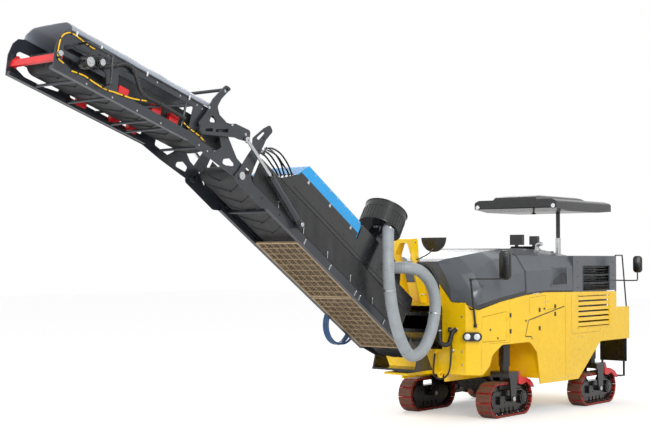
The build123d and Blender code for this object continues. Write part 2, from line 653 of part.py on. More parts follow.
def platform():
    """Operator's floor, its front bulkhead and the grey right-hand panel."""
    left = Y_BOX_INNER - CLEAR
    right = -HALF_WIDTH + WALL + 40
    floor = block(X_BOX_REAR, X_BOX_FRONT - CLEAR, right, left, Z_PLATFORM - 20, Z_PLATFORM)
    front = block(X_BOX_FRONT - WALL, X_BOX_FRONT - CLEAR, right, left, Z_PLATFORM, Z_BOX_TOP - 20)
    side = prism([(X_BOX_REAR, Z_SHOULDER + 18), (X_BOX_REAR, Z_SHOULDER + 300, 80),
                  (X_BOX_FRONT - 500, Z_BOX_TOP - 60, 120), (X_BOX_FRONT - CLEAR, Z_BOX_TOP - 20),
                  (X_BOX_FRONT - CLEAR, Z_SHOULDER + 18)], -HALF_WIDTH, -HALF_WIDTH + WALL)
    side += block(X_BOX_REAR, X_BOX_FRONT - CLEAR, right, right + WALL, Z_PLATFORM, Z_SHOULDER + 60)
    side += block(X_BOX_REAR, X_BOX_FRONT - CLEAR, -HALF_WIDTH, right + WALL, Z_SHOULDER + 40, Z_SHOULDER + 60)
    return floor + front + side + hinge_ears(-HOOD_HINGE_Y)


def engine_block():
    """The engine as one plain block on the frame beams."""
    block_top = block(720, 1920, -BEAM_OUT, BEAM_OUT, Z_ARCH + 20 + CLEAR, 2180)
    return block_top - block(719, 1921, -WINDOW_HALF, WINDOW_HALF, Z_ARCH, 1360)


CONSOLE_X = -640.0
RAIL_RADIUS = 13.0
STALK_RADIUS = 16.0


def console():
    """Operator's console with its two displays and a work lamp."""
    front = X_BOX_FRONT - WALL - CLEAR
    desk = prism([(CONSOLE_X - 110, 2400), (front, 2400), (front, 2660),
                  (CONSOLE_X + 60, 2760, 20), (CONSOLE_X - 110, 2700, 20)], -190, 320)
    stem = rod((CONSOLE_X, -130, 2720), (CONSOLE_X, -130, 2800), 14)
    screen = block(CONSOLE_X - 20, CONSOLE_X + 15, -240, 0, 2790, 2960)
    lamp_stem = rod((CONSOLE_X, 250, 2720), (CONSOLE_X, 250, 2800), 14)
    lamp = block(CONSOLE_X - 40, CONSOLE_X + 40, 170, 320, 2790, 2930)
    return desk + stem + screen + lamp_stem + lamp


def canopy_post():
    """Silver tube with its foot plate on the platform, open at the top for the roof's slider."""
    post = disc_z(POST_X, POST_Y, POST_RADIUS, Z_PLATFORM, ROOF_BOTTOM - POST_SHOW)
    post += block(POST_X - 90, POST_X + 90, POST_Y - 75, POST_Y + 75, Z_PLATFORM, Z_PLATFORM + 20)
    bore = disc_z(POST_X, POST_Y, SLIDER_RADIUS + COLUMN_SLIDE_GAP, ROOF_BOTTOM - SLIDER_LENGTH - ROOF_DROP - 20,
                  ROOF_BOTTOM)
    return post - bore


def canopy():
    """Roof with a raised middle, an upright front edge and a curved top, on its sliding post."""
    x1 = ROOF_X_FRONT
    x0 = ROOF_X_FRONT - ROOF_LENGTH
    z0 = ROOF_BOTTOM
    side = [(x0, z0 + 30, 8), (x0, z0 + ROOF_EDGE - 30, 60), (x0 + 420, z0 + ROOF_HEIGHT, 300),
            (x1 - 300, z0 + ROOF_HEIGHT, 200), (x1, z0 + ROOF_HEIGHT - 30, 60), (x1, z0 + 50, 20),
            (x1 - 420, z0, 200), (x0 + 500, z0, 200)]
    roof = prism(side, -ROOF_HALF_WIDTH, ROOF_HALF_WIDTH)
    edge = z0 + ROOF_EDGE
    half = [(ROOF_HALF_WIDTH, z0 - 1), (ROOF_HALF_WIDTH, edge - 40, 40), (ROOF_HALF_WIDTH - 90, edge, 60),
            (ROOF_BROW + 45, edge, 20), (ROOF_BROW, z0 + ROOF_HEIGHT - 20, 30), (ROOF_BROW - 70, z0 + ROOF_HEIGHT, 60)]
    points = half + [(-p[0], *p[1:]) for p in reversed(half)]
    cross = Plane.YZ.offset(x0 - 10) * extrude(outline(points), amount=ROOF_LENGTH + 20)
    roof = roof & cross
    roof += disc_z(POST_X, POST_Y, SLIDER_RADIUS, ROOF_BOTTOM - SLIDER_LENGTH, ROOF_BOTTOM + 40)
    return roof


def handrails():
    """Rails beside the ladder, with the lower grab loop, on both rear corners."""
    y = HALF_WIDTH - 40
    radius = RAIL_RADIUS
    rails = rod((X_BOX_REAR - 50, y, Z_DECK), (X_BOX_REAR - 50, y, 2600), radius)
    rails += rod((X_BOX_REAR - 50, y, 2600), (X_BOX_REAR - 320, y, 2600), radius)
    rails += rod((X_BOX_REAR - 320, y, 2600), (X_REAR + 30, y, Z_DECK - 20), radius)
    rails += Pos(X_BOX_REAR - 50, y, 2600) * Sphere(radius)
    rails += Pos(X_BOX_REAR - 320, y, 2600) * Sphere(radius)
    rails -= rear_deck()
    return both_sides(rails)


def rear_steps():
    """Ladder and rubber flap under the rear deck, left side."""
    top = Z_REAR_CUT + 2 - CLEAR
    x = X_REAR + 38
    far = HALF_WIDTH - 70
    near = HALF_WIDTH - 530
    flap = block(X_REAR + 20, X_REAR + 40, near - 40, far + 30, 667, top)
    hanger = block(x, x + 33, near, near + 30, 420, top)
    hanger += block(x, x + 33, far - 30, far, 420, top)
    hanger += block(x, x + 173, near, far, 400, 425)
    return flap + hanger


POD_LENGTH = 300.0
POD_HEIGHT = 140.0
POD_DEPTH = 45.0


def headlights():
    """Oval lamp clusters on the two front corners."""
    angle = math.degrees(math.atan2(Y_CORNER - Y_FRONT, X_FRONT - X_CORNER))
    place = Pos((X_FRONT + X_CORNER) / 2, (Y_FRONT + Y_CORNER) / 2, 1335) * Rot(0, 0, 90 - angle)
    body = Rot(0, 90, 0) * extrude(SlotOverall(POD_LENGTH, POD_HEIGHT, rotation=90), amount=POD_DEPTH)
    return both_sides(place * Pos(CLEAR, 0, 0) * body)


MAST_FOOT = 1854.0


def mirrors():
    """Mirrors on their arms at the front and rear corners."""
    chamfer = Vector(X_CORNER - X_FRONT, Y_CORNER - Y_FRONT).normalized()
    foot = Vector(X_FRONT, Y_FRONT) + chamfer * 150
    foot += Vector(chamfer.Y, -chamfer.X) * (STALK_RADIUS + CLEAR)
    head = (2525, Y_CORNER - 35, 2219)
    elbow = (2480, Y_CORNER + 25, 2225)
    stalk = rod((foot.X, foot.Y, 1509), head, STALK_RADIUS)
    stalk += rod(head, elbow, 14) + Pos(*head) * Sphere(STALK_RADIUS)
    stalk += rod(elbow, (2050, HALF_WIDTH + 130, 2225), 14) + Pos(*elbow) * Sphere(14)
    stalk += block(2000, 2070, HALF_WIDTH + 40, HALF_WIDTH + 240, 2210, 2670)
    rail_y = HALF_WIDTH - 40
    hook = (-2130, HALF_WIDTH + 350, 2150)
    rear = rod((X_BOX_REAR - 50, rail_y, 2150), hook, 12)
    rear += rod(hook, (-2130, HALF_WIDTH + 350, 2300), 12) + Pos(*hook) * Sphere(12)
    rear += block(-2160, -2100, HALF_WIDTH + 270, HALF_WIDTH + 440, 2290, 2590)
    rear -= disc_z(X_BOX_REAR - 50, rail_y, RAIL_RADIUS + CLEAR, Z_DECK, 2600)
    pieces = [max(stalk.solids(), key=lambda s: s.volume), max(rear.solids(), key=lambda s: s.volume)]
    return Compound(children=pieces + [mirrored(p) for p in pieces] + [*round_mirror().solids()])


ROUND_MIRROR_X = 2605.0
ROUND_MIRROR_Y = 339.0
ROUND_MIRROR_Z = 2868.0
ROUND_MIRROR_RADIUS = 226.0


def round_mirror():
    """Half-round mirror over the hood's front edge, on a bent arm from the yellow bracket."""
    disc = Circle(ROUND_MIRROR_RADIUS) & Pos(0, -ROUND_MIRROR_RADIUS) * Rectangle(
        3 * ROUND_MIRROR_RADIUS, 2 * ROUND_MIRROR_RADIUS)
    head = Plane.YZ.offset(ROUND_MIRROR_X) * extrude(Pos(ROUND_MIRROR_Y, ROUND_MIRROR_Z) * disc, amount=45)
    foot = (2860, 178 + STALK_RADIUS, 2530)
    bend = (2720, ROUND_MIRROR_Y - 50, 2610)
    tip = (ROUND_MIRROR_X + 25, ROUND_MIRROR_Y, ROUND_MIRROR_Z - 150)
    arm = rod(foot, bend, 12) + rod(bend, tip, 12) + Pos(*bend) * Sphere(12) + Pos(*foot) * Sphere(12)
    arm += disc_y(foot[0], foot[2], 20, 176 + CLEAR, foot[1])
    return head + arm


def front_mast():
    """Yellow bracket in front of the hood: a foot plate over the belt window, two legs and a cap."""
    leg = prism([(2560, MAST_FOOT), (2800, 2560, 60), (2840, 2850, 30), (2960, 2850, 30),
                 (3000, 2560, 60), (2760, MAST_FOOT)], 150, 176)
    mast = leg + mirrored(leg)
    mast += block(X_FRONT, 2740, -240, 240, MAST_FOOT - 50, MAST_FOOT)
    cap = prism([(2800, 2540), (3000, 2540), (2960, 2850, 30), (2840, 2850, 30)], -176, 176)
    arch = Plane.YZ.offset(2700) * extrude(outline([(-150, 2500), (-150, 2600), (-70, 2780, 40),
                                                    (70, 2780, 40), (150, 2600), (150, 2500)]), amount=400)
    mast += cap - arch
    return mast


# Milling drum
HOUSING_RADIUS = DRUM_CUT_RADIUS + HOUSING_CLEARANCE


def drum():
    """Milling drum: body, pick rows in a helix, and its drive boss."""
    body = disc_y(DRUM_X, DRUM_Z, DRUM_BODY_RADIUS, DRUM_RIGHT, DRUM_LEFT)
    width = DRUM_LEFT - DRUM_RIGHT
    reach = DRUM_CUT_RADIUS - DRUM_BODY_RADIUS + 20
    holders = []
    for row in range(PICKS_PER_ROW):
        for i in range(PICK_ROWS):
            y = DRUM_RIGHT + (i + 0.5) * width / PICK_ROWS
            turn = row * 360 / PICKS_PER_ROW + i * 12
            pick = Pos(0, 0, DRUM_BODY_RADIUS - 20 + reach / 2) * Box(PICK_HOLDER, PICK_HOLDER, reach)
            holders.append(Pos(DRUM_X, y, DRUM_Z) * Rot(0, turn, 0) * pick)
    body += holders
    body += disc_y(DRUM_X, DRUM_Z, 120, DRUM_LEFT, DRUM_LEFT + END_GAP - CLEAR)
    return body


def drum_housing():
    """Arched housing over the drum, open below, with its end plates."""
    y0 = DRUM_RIGHT - END_GAP
    y1 = DRUM_LEFT + END_GAP
    outer = HOUSING_RADIUS + HOUSING_PLATE
    arch = disc_y(DRUM_X, DRUM_Z, outer, y0, y1)
    arch -= disc_y(DRUM_X, DRUM_Z, HOUSING_RADIUS, y0 - 1, y1 + 1)
    arch -= block(DRUM_X - outer - 1, DRUM_X + outer + 1, y0 - 1, y1 + 1, 0, HOUSING_BOTTOM)
    arch -= block(DRUM_X, DRUM_X + 2 * outer, -BEAM_IN, y1 + 1, 0, PICKUP_MOUTH)
    ends = disc_y(DRUM_X, DRUM_Z, outer, y1, y1 + HOUSING_PLATE)
    ends -= block(DRUM_X - outer - 1, DRUM_X + outer + 1, y1 - 1, y1 + 50, 0, HOUSING_BOTTOM)
    return arch + ends + Pos(0, y0 - HOUSING_PLATE - y1, 0) * ends


PICKUP_MOUTH = 620.0
PLATE_LIFT = 0.28
PLATE_BOTTOM = 150.0
EDGE_PLATE = 12.0
EDGE_PLATE_GAP = 6.5


def side_plate(y0, runner_side):
    """Sliding edge plate beside the drum, with the runners that guide it on the housing."""
    x0 = DRUM_X - HOUSING_RADIUS + 5
    x1 = DRUM_X + HOUSING_RADIUS - 5
    plate = prism([(x0, PLATE_BOTTOM + 120), (x0 + 120, PLATE_BOTTOM, 60), (x1 - 120, PLATE_BOTTOM, 60),
                   (x1, PLATE_BOTTOM + 120), (x1, 560), (x0, 560)], y0, y0 + EDGE_PLATE)
    depth = EDGE_PLATE_GAP - CLEAR
    near = y0 - depth if runner_side < 0 else y0 + EDGE_PLATE
    for x in (DRUM_X - 300, DRUM_X + 300):
        plate += block(x - 30, x + 30, near, near + depth, HOUSING_BOTTOM + 10, 560)
    return plate


def pickup_conveyor():
    """Trough of the short belt that feeds the slewing conveyor."""
    outer = HOUSING_RADIUS + HOUSING_PLATE
    start = DRUM_X + math.sqrt(outer ** 2 - (DRUM_Z - PICKUP_MOUTH) ** 2) + CLEAR
    end = SLEW_X - 120
    side = [(start, 340), (start + 120, 330), (end, 1390), (end, 1700), (end - 80, 1720),
            (start, PICKUP_MOUTH)]
    trough = prism(side, -360, 360)
    trough += block(X_FRONT - WALL, X_FRONT, -200, 200, WINDOW_BOTTOM + CLEAR, 1245)
    inner = [(start - 10, 380), (start + 100, 380), (end + 10, 1450), (end + 10, 1660),
             (start + 60, 600), (start - 10, 570)]
    return trough - prism(inner, -340, 340)


# Slewing frame and conveyor
TAIL_HALF = 380.0
FORK_IN = 388.0
FORK_OUT = 416.0


def slew_frame():
    """Turntable with the fork that holds the conveyor's tail."""
    base = disc_z(SLEW_X, 0, SLEW_BEARING_RADIUS, TONGUE_TOP + CLEAR, TONGUE_TOP + SLEW_BEARING_HEIGHT)
    z0 = TONGUE_TOP + SLEW_BEARING_HEIGHT - 5
    base += prism([(SLEW_X - 110, z0), (SLEW_X + 330, z0), (SLEW_X + 330, z0 + 30),
                   (SLEW_X - 110, z0 + 30)], -FORK_OUT, FORK_OUT)
    cheek = prism([(SLEW_X - 110, z0), (SLEW_X + 330, z0), (LIFT_X + 90, LIFT_Z + 60, 50),
                   (LIFT_X - 90, LIFT_Z + 60, 50)], FORK_IN, FORK_OUT)
    pin = disc_y(LIFT_X, LIFT_Z, LIFT_PIN_RADIUS - CLEAR, FORK_IN - 30, FORK_OUT + 10)
    base += cheek + pin
    base += mirrored(cheek + pin)
    return base


SHROUD_RADIUS = 436.0
SHROUD_PLATE = 10.0
SHROUD_IN = 362.0


def belt_shroud():
    """Black guard plates between the front plate and the conveyor's tail, rounded at the turntable."""
    z0 = LIFT_Z + 215
    z1 = WINDOW_TOP - 10
    outer = SHROUD_RADIUS + SHROUD_PLATE
    ring = disc_z(SLEW_X, 0, outer, z0, z1) - disc_z(SLEW_X, 0, SHROUD_RADIUS, z0 - 1, z1 + 1)
    ring &= block(SLEW_X - outer - 1, SLEW_X - 15, SHROUD_IN, outer, z0, z1)
    reach = SLEW_X - math.sqrt((SHROUD_RADIUS + SHROUD_PLATE / 2) ** 2 - (SHROUD_IN + SHROUD_PLATE / 2) ** 2)
    plate = block(X_FRONT + CLEAR, reach, SHROUD_IN, SHROUD_IN + SHROUD_PLATE, z0, z1)
    return both_sides(ring + plate)


LOWER = Pos(LOWER_X, 0, LOWER_Z) * Rot(0, -LOWER_ANGLE, 0)
UPPER = Pos(FOLD_X, 0, FOLD_Z) * Rot(0, -UPPER_ANGLE, 0)


def lower_sn(x, z):
    """Machine x, z as distances along and square to the lower belt."""
    turn = math.radians(LOWER_ANGLE)
    dx = x - LOWER_X
    dz = z - LOWER_Z
    return (dx * math.cos(turn) + dz * math.sin(turn), dz * math.cos(turn) - dx * math.sin(turn))


FOLD_S, FOLD_N = lower_sn(FOLD_X, FOLD_Z)
LIFT_S, LIFT_N = lower_sn(LIFT_X, LIFT_Z)
CHANNEL_TOP = 70.0
CLOTH_TOP = 440.0
COVER_TOP = 680.0
COVER_START = 250.0
COVER_END = 3750.0
BOX_START = 700.0
BOX_TOP = 920.0
BLUE_START = 1950.0
BLUE_END = 3500.0
BLUE_TOP = 930.0
BLUE_SKIN = 12.0
COVER_SKIN = 10.0


COIL_X = 3925.0
COIL_Z = 1545.0
BLUE_HOSE_RADIUS = 18.0
COIL_RADIUS = 297.0
COIL_TURNS = 3
COIL_PITCH = 37.0
COIL_Y = -498.0
COIL_END_Y = COIL_Y - (COIL_TURNS - 1) * COIL_PITCH
BLUE_LEAD = [
    (3587.0, COIL_Y, 1396.0), (3645.0, COIL_Y, 1327.0), (3724.0, COIL_Y, 1274.0), (3815.0, COIL_Y, 1246.0),
    (COIL_X, COIL_Y, COIL_Z - COIL_RADIUS),
]


def hose_hook():
    """Hook for the hose coil and the hose's fitting, on the right channel."""
    face = -LOWER_HALF_WIDTH
    peg_z = COIL_Z + COIL_RADIUS - BLUE_HOSE_RADIUS - CLEAR - 12
    far = COIL_END_Y - BLUE_HOSE_RADIUS - 14
    hook = block(COIL_X - 20, COIL_X + 20, face - 22, face + 5, COIL_Z - 45, COIL_Z + 15)
    hook += block(COIL_X - 15, COIL_X + 15, face - 22, face - 2, COIL_Z - 45, peg_z + 12)
    hook += disc_y(COIL_X, peg_z, 12, far - 12, face - 2)
    hook += disc_z(COIL_X, far, 12, peg_z, peg_z + 40)
    x, y, z = BLUE_LEAD[0]
    fall = (Vector(*BLUE_LEAD[1]) - Vector(*BLUE_LEAD[0])).normalized()
    back = Vector(x, y, z) - fall * 60
    hook += rod((back.X, back.Y, back.Z), (x, y, z), 26)
    hook += block(x - 58, x - 30, y - 12, face + 5, z - 90, z + 46)
    return hook


def blue_hose():
    """Blue water hose from its fitting to the coil."""
    return hose_tube("blue_hose", BLUE_LEAD, BLUE_HOSE_RADIUS)


def blue_hose_coil(lead):
    """Outer shape of the coiled blue hose on its hook, standing in for its turns."""
    outer = COIL_RADIUS + BLUE_HOSE_RADIUS
    inner = COIL_RADIUS - BLUE_HOSE_RADIUS
    y0 = COIL_END_Y - BLUE_HOSE_RADIUS - 1
    y1 = COIL_Y + BLUE_HOSE_RADIUS + 1
    ring = disc_y(COIL_X, COIL_Z, outer, y0, y1) - disc_y(COIL_X, COIL_Z, inner, y0 - 1, y1 + 1)
    return ring - lead


def lower_frame():
    """Side channels, fold plates with the tower, cross tubes and tail cheeks."""
    outer = LOWER_HALF_WIDTH
    inner = outer - CONVEYOR_PLATE
    tower = [(FOLD_S + 125, -92, 60), (FOLD_S + 82, FOLD_N + 30, 40), (FOLD_S + 70, 180, 60),
             (FOLD_S + 50, 330, 90), (FOLD_S + 30, 440, 60), (FOLD_S + 97, 560, 40), (FOLD_S - 8, 800, 40),
             (FOLD_S - 78, 905, 40), (FOLD_S - 173, 870, 40), (FOLD_S - 123, 690, 60),
             (FOLD_S - 133, 240, 90), (FOLD_S - 148, 110, 60)]
    plate = prism([(0, -50), (FOLD_S - 640, -50), (FOLD_S - 545, -105, 60)] + tower
                  + [(FOLD_S - 228, CHANNEL_TOP), (0, CHANNEL_TOP)], inner, outer)
    windows = [
        # outline of each opening in the tower
        [(FOLD_S + 7, 84, 15), (FOLD_S - 16, 170, 20), (FOLD_S - 78, 172, 20), (FOLD_S - 100, 120, 20),
         (FOLD_S - 60, 84, 15)],
        [(FOLD_S + 45, 590, 15), (FOLD_S - 15, 735, 15), (FOLD_S - 60, 770, 15), (FOLD_S - 15, 610, 20)],
    ]
    for window in windows:
        plate -= prism(window, inner - 1, outer + 1)
    rail = prism([(0, -50), (FOLD_S - 640, -50), (FOLD_S - 640, -5), (0, -5)],
                 GRILLE_HALF_WIDTH + CLEAR, outer)
    lip = prism([(0, CHANNEL_TOP - 30), (FOLD_S - 700, CHANNEL_TOP - 30), (FOLD_S - 700, CHANNEL_TOP),
                 (0, CHANNEL_TOP)], inner - 50, inner + 1)
    tail = prism([(LIFT_S - 95, LIFT_N - 60, 60), (0, -50), (40, -50), (40, 150), (0, 150),
                  (LIFT_S - 95, LIFT_N + 90, 60)], TAIL_HALF - 22, TAIL_HALF)
    tail -= disc_y(LIFT_S, LIFT_N, LIFT_PIN_RADIUS, 0, TAIL_HALF + 1)
    tail += prism([(0, -50), (40, -50), (40, 150), (0, 150)], TAIL_HALF - 22, outer)
    sides = plate + rail + lip + tail
    frame = sides + mirrored(sides)
    for s in (20, 900, 1800, 2700, 3600):
        frame += disc_y(s, 4, 18, -inner - 1, inner + 1)
    frame -= disc_y(FOLD_S, FOLD_N, FOLD_PIN_RADIUS, -outer - 1, outer + 1)
    return LOWER * frame + hose_hook()


def belt(s0, s1, n, radius, shaft_reach):
    """A closed belt loop round two pulleys, with the pulley shafts to their bearings."""
    half = (s1 - s0) / 2
    loop = Pos((s0 + s1) / 2, 0, n) * stadium(radius, half, 2 * BELT_HALF_WIDTH)
    for s, reach in zip((s0, s1), shaft_reach):
        loop += disc_y(s, n, SHAFT_RADIUS, -reach, reach)
    return loop


def lower_belt():
    """Belt loop of the lower section, on its pulleys."""
    tail_reach = TAIL_HALF - 22 - CLEAR
    head_reach = LOWER_HALF_WIDTH - CONVEYOR_PLATE - CLEAR
    return LOWER * belt(LIFT_S + 100, FOLD_S - 80, LIFT_N + 20, LOWER_PULLEY, (tail_reach, head_reach))


def grille_panel(s0, s1):
    """Guard panel: a frame with a lattice of crossing bars."""
    half = GRILLE_HALF_WIDTH
    frame = block(s0, s1, -half, half, 0, GRILLE_THICKNESS)
    inside = block(s0 + GRILLE_FRAME, s1 - GRILLE_FRAME, -half + GRILLE_FRAME, half - GRILLE_FRAME,
                   -1, GRILLE_THICKNESS + 1)
    ring = frame - inside
    count = int((s1 - s0) / GRILLE_PITCH)
    bars = []
    for i in range(1, count):
        s = s0 + i * (s1 - s0) / count
        bars.append(block(s - GRILLE_BAR / 2, s + GRILLE_BAR / 2, -half + 1, half - 1, 4, 20))
    for j in range(1, 6):
        y = -half + j * 2 * half / 6
        bars.append(block(s0 + 1, s1 - 1, y - GRILLE_BAR / 2, y + GRILLE_BAR / 2, 4, 20))
    return ring + bars


def grilles():
    """The two guard panels under the lower section."""
    first = grille_panel(60, 1490)
    second = grille_panel(1510, 2930)
    panels = [*first.solids(), *second.solids()]
    return Compound(children=[LOWER * Pos(0, 0, -49) * p for p in panels])


def lower_cloth():
    """Black cloth side panels between channel and cover."""
    end = FOLD_S - 183
    side = prism([(320, CHANNEL_TOP + 1), (end - 55, CHANNEL_TOP + 1), (end, CHANNEL_TOP + 60),
                  (end, CLOTH_TOP), (320, CLOTH_TOP)], LOWER_HALF_WIDTH - 9, LOWER_HALF_WIDTH - 1)
    return LOWER * both_sides(side)


def lower_cover():
    """Black steel cover over the belt with its raised suction box, open below."""
    half = LOWER_HALF_WIDTH
    skin = COVER_SKIN
    box_end = BLUE_START - 2 * skin
    foot = CLOTH_TOP + CLEAR
    cover = prism([(COVER_START, foot), (COVER_END, foot), (COVER_END - 250, COVER_TOP),
                   (box_end, COVER_TOP), (box_end, BOX_TOP, 20), (BOX_START + 120, BOX_TOP, 20),
                   (BOX_START, COVER_TOP), (COVER_START + 60, COVER_TOP)], -half, half)
    room = prism([(COVER_START - 1, CLOTH_TOP), (COVER_END + 1, CLOTH_TOP), (COVER_END - 250, COVER_TOP - skin),
                  (box_end - skin, COVER_TOP - skin), (box_end - skin, BOX_TOP - skin),
                  (BOX_START + 125, BOX_TOP - skin), (BOX_START + 16, COVER_TOP - skin),
                  (COVER_START - 1, COVER_TOP - skin)], -half + skin, half - skin)
    return LOWER * (cover - room)


def blue_cover():
    """Blue hood along the top of the lower section."""
    half = LOWER_HALF_WIDTH - 5
    bottom = COVER_TOP + RUNNING_GAP
    skin = BLUE_SKIN
    cover = prism([(BLUE_START, bottom), (BLUE_END, bottom), (BLUE_END - 150, BLUE_TOP, 20),
                   (BLUE_START + 40, BLUE_TOP, 20), (BLUE_START, bottom + 180)], -half, half)
    room = prism([(BLUE_START + skin, bottom - 1), (BLUE_END - 2 * skin, bottom - 1),
                  (BLUE_END - 160, BLUE_TOP - skin), (BLUE_START + 50, BLUE_TOP - skin),
                  (BLUE_START + skin, bottom + 176)], -half + skin, half - skin)
    return LOWER * (cover - room)


FAN_S = 1450.0
FAN_Y = 340.0
FAN_BOTTOM = 1170.0
FAN_TOP = 1510.0
FAN_RADIUS = 320.0
DUCT_RADIUS = 90.0
DUCT_STUB_S = 975.0
DUCT_STUB_N = 803.0
DUCT_PATH = [
    (4180.0, 560.0, 2811.0), (4300.0, 690.0, 2377.0), (4249.0, 700.0, 1941.0), (4125.0, 700.0, 1574.0),
    (3950.0, 700.0, 1275.0), (3747.0, 700.0, 1115.0), (3464.0, 700.0, 1176.0), (3227.0, 700.0, 1465.0),
    (3121.0, 700.0, 1840.0), (3229.0, 700.0, 2145.0), (3500.0, 700.0, 2345.0), (3740.0, 650.0, 2400.0),
]


def fan_drum():
    """Dust extraction fan: an upright drum with its inlet cone on a foot over the suction box."""
    drum_body = Pos(FAN_S, FAN_Y, (FAN_BOTTOM + FAN_TOP) / 2) * Cylinder(FAN_RADIUS, FAN_TOP - FAN_BOTTOM)
    cone = Pos(FAN_S, FAN_Y, FAN_BOTTOM - 60) * Cone(60, 105, 122)
    seat = BOX_TOP + RUNNING_GAP
    foot = prism([(FAN_S - 140, seat), (FAN_S + 140, seat), (FAN_S + 80, FAN_BOTTOM + 10),
                  (FAN_S - 80, FAN_BOTTOM + 10)], FAN_Y - 90, FAN_Y + 60)
    return LOWER * (drum_body + cone + foot)


def on_lower(s, y, n):
    """A point of the lower section in the machine's frame."""
    return (LOWER * Pos(s, y, n)).position


def suction_duct():
    """Wide bent duct from the fan down beside the conveyor and up into the suction box."""
    start = on_lower(FAN_S + 20, FAN_Y + 205, FAN_BOTTOM - CLEAR)
    end = on_lower(DUCT_STUB_S, LOWER_HALF_WIDTH + CLEAR, DUCT_STUB_N)
    points = [start] + [Vector(*p) for p in DUCT_PATH] + [end]
    fall = on_lower(0, 0, -1) - on_lower(0, 0, 0)
    path = Spline(*points, tangents=(fall, Vector(0, -1, 0)))
    ring = Circle(DUCT_RADIUS)
    return sweep(Plane(origin=start, z_dir=fall) * ring, path=path)


# Upper section
BRACE_RADIUS = 16.0
BEARING_LAP = 1.0
FLANGE_DEPTH = 60.0
FLANGE_TOP = UPPER_BOTTOM + 45


def upper_frame():
    """Side frames with their cut-outs, nose plates, braces and cross tubes."""
    outer = UPPER_HALF_WIDTH
    inner = outer - CONVEYOR_PLATE
    nose = UPPER_LENGTH
    side = prism([(-75, -35, 60), (60, -60, 60), (640, 30), (988, UPPER_BOTTOM - 6, 300),
                  (nose - 40, UPPER_BOTTOM), (nose, 345), (nose - 25, 500), (nose - 80, 580),
                  (nose - 170, UPPER_TOP), (600, UPPER_TOP), (430, 560, 80), (360, 400, 80),
                  (131, 195, 60), (-75, 120, 60)], inner, outer)
    windows = [
        # outline of each opening in the side frame
        [(355, 100, 20), (365, 40, 20), (170, 30, 25), (150, 105, 25), (252, 145, 20)],
        [(540, 130, 25), (790, 175, 25), (790, 525, 25), (640, 525, 25), (520, 360, 30), (430, 230, 25)],
        [(1050, 215, 25), (nose - 982, 225, 25), (nose - 933, 490, 25), (nose - 1328, 530, 25), (1050, 530, 25)],
        [(nose - 811, 223, 25), (nose - 589, 192, 30), (nose - 285, 192, 30), (nose - 118, 252, 25),
         (nose - 109, 418, 25), (nose - 145, 446, 25), (nose - 305, 458, 30), (nose - 601, 443, 30),
         (nose - 769, 356, 25)],
        [(nose - 576, 485, 15), (nose - 576, 530, 20), (nose - 800, 530, 20), (nose - 780, 450, 20),
         (nose - 640, 475, 15)],
    ]
    for window in windows:
        side -= prism(window, inner - 1, outer + 1)
    side += prism([(988, UPPER_BOTTOM), (nose - 40, UPPER_BOTTOM), (nose - 40, FLANGE_TOP),
                   (988, FLANGE_TOP)], inner - FLANGE_DEPTH, outer)
    side += block(nose - 900, nose - 60, inner - 12, inner + BEARING_LAP, 310, 372)
    brace_y = inner - BRACE_RADIUS / 2
    side += rod((nose - 1366, brace_y, 190), (1027, brace_y, 560), BRACE_RADIUS)
    side += rod((1160, brace_y, 190), (1160, brace_y, 560), BRACE_RADIUS)
    side += disc_y(0, 0, 62, inner - 20, outer)
    side -= disc_y(0, 0, FOLD_PIN_RADIUS, inner - 30, outer + 1)
    frame = side + mirrored(side)
    for s in (700, 1350, nose - 1632, nose - 932, nose - 432):
        frame += disc_y(s, UPPER_BOTTOM + 22, 18, -inner - 1, inner + 1)
    return UPPER * frame


def fold_pin():
    """Pivot pins of the fold, with their outer caps, held by the lower section."""
    inner = UPPER_HALF_WIDTH - CONVEYOR_PLATE - 20
    pin = disc_y(0, 0, FOLD_PIN_RADIUS - 0.1, inner, LOWER_HALF_WIDTH)
    pin += disc_y(0, 0, FOLD_PIN_RADIUS + 14, LOWER_HALF_WIDTH + RUNNING_GAP, LOWER_HALF_WIDTH + 14)
    return UPPER * both_sides(pin)


def upper_belt():
    """Belt loop of the upper section."""
    tail_reach = UPPER_HALF_WIDTH - CONVEYOR_PLATE - CLEAR
    return UPPER * belt(410, UPPER_LENGTH - 330, 340, BELT_PULLEY, (tail_reach, tail_reach - 12))


def red_brackets():
    """Red roller brackets on the chord's flange and the scraper bar at the nose."""
    inner = UPPER_HALF_WIDTH - CONVEYOR_PLATE
    arms = []
    for s in (1200, UPPER_LENGTH - 1732, UPPER_LENGTH - 1182):
        arms.append(block(s, s + 150, BELT_HALF_WIDTH + 10, inner - 2 * BRACE_RADIUS, FLANGE_TOP + CLEAR, 330))
    bar = block(UPPER_LENGTH - 100, UPPER_LENGTH - 60, -inner, inner, 225, 305)
    pieces = arms + [mirrored(a) for a in arms] + [bar]
    return Compound(children=[UPPER * s for p in pieces for s in p.solids()])


def upper_tarp():
    """Grey tarpaulin arched over the upper section."""
    half = UPPER_HALF_WIDTH
    foot = UPPER_TOP + CLEAR
    crown = UPPER_TOP + TARP_RISE
    face = outline([(-half, foot), (-half, foot + 38, 30), (-half + 120, crown, 100),
                    (half - 120, crown, 100), (half, foot + 38, 30), (half, foot)])
    t = TARP_THICKNESS
    inner = outline([(-half + t, foot - 1), (-half + t, foot + 34, 25), (-half + 126, crown - t, 90),
                     (half - 126, crown - t, 90), (half - t, foot + 34, 25), (half - t, foot - 1)])
    sheet = extrude(face - inner, amount=UPPER_LENGTH - 160 - TARP_START)
    return UPPER * (Plane.YZ.offset(TARP_START) * sheet)


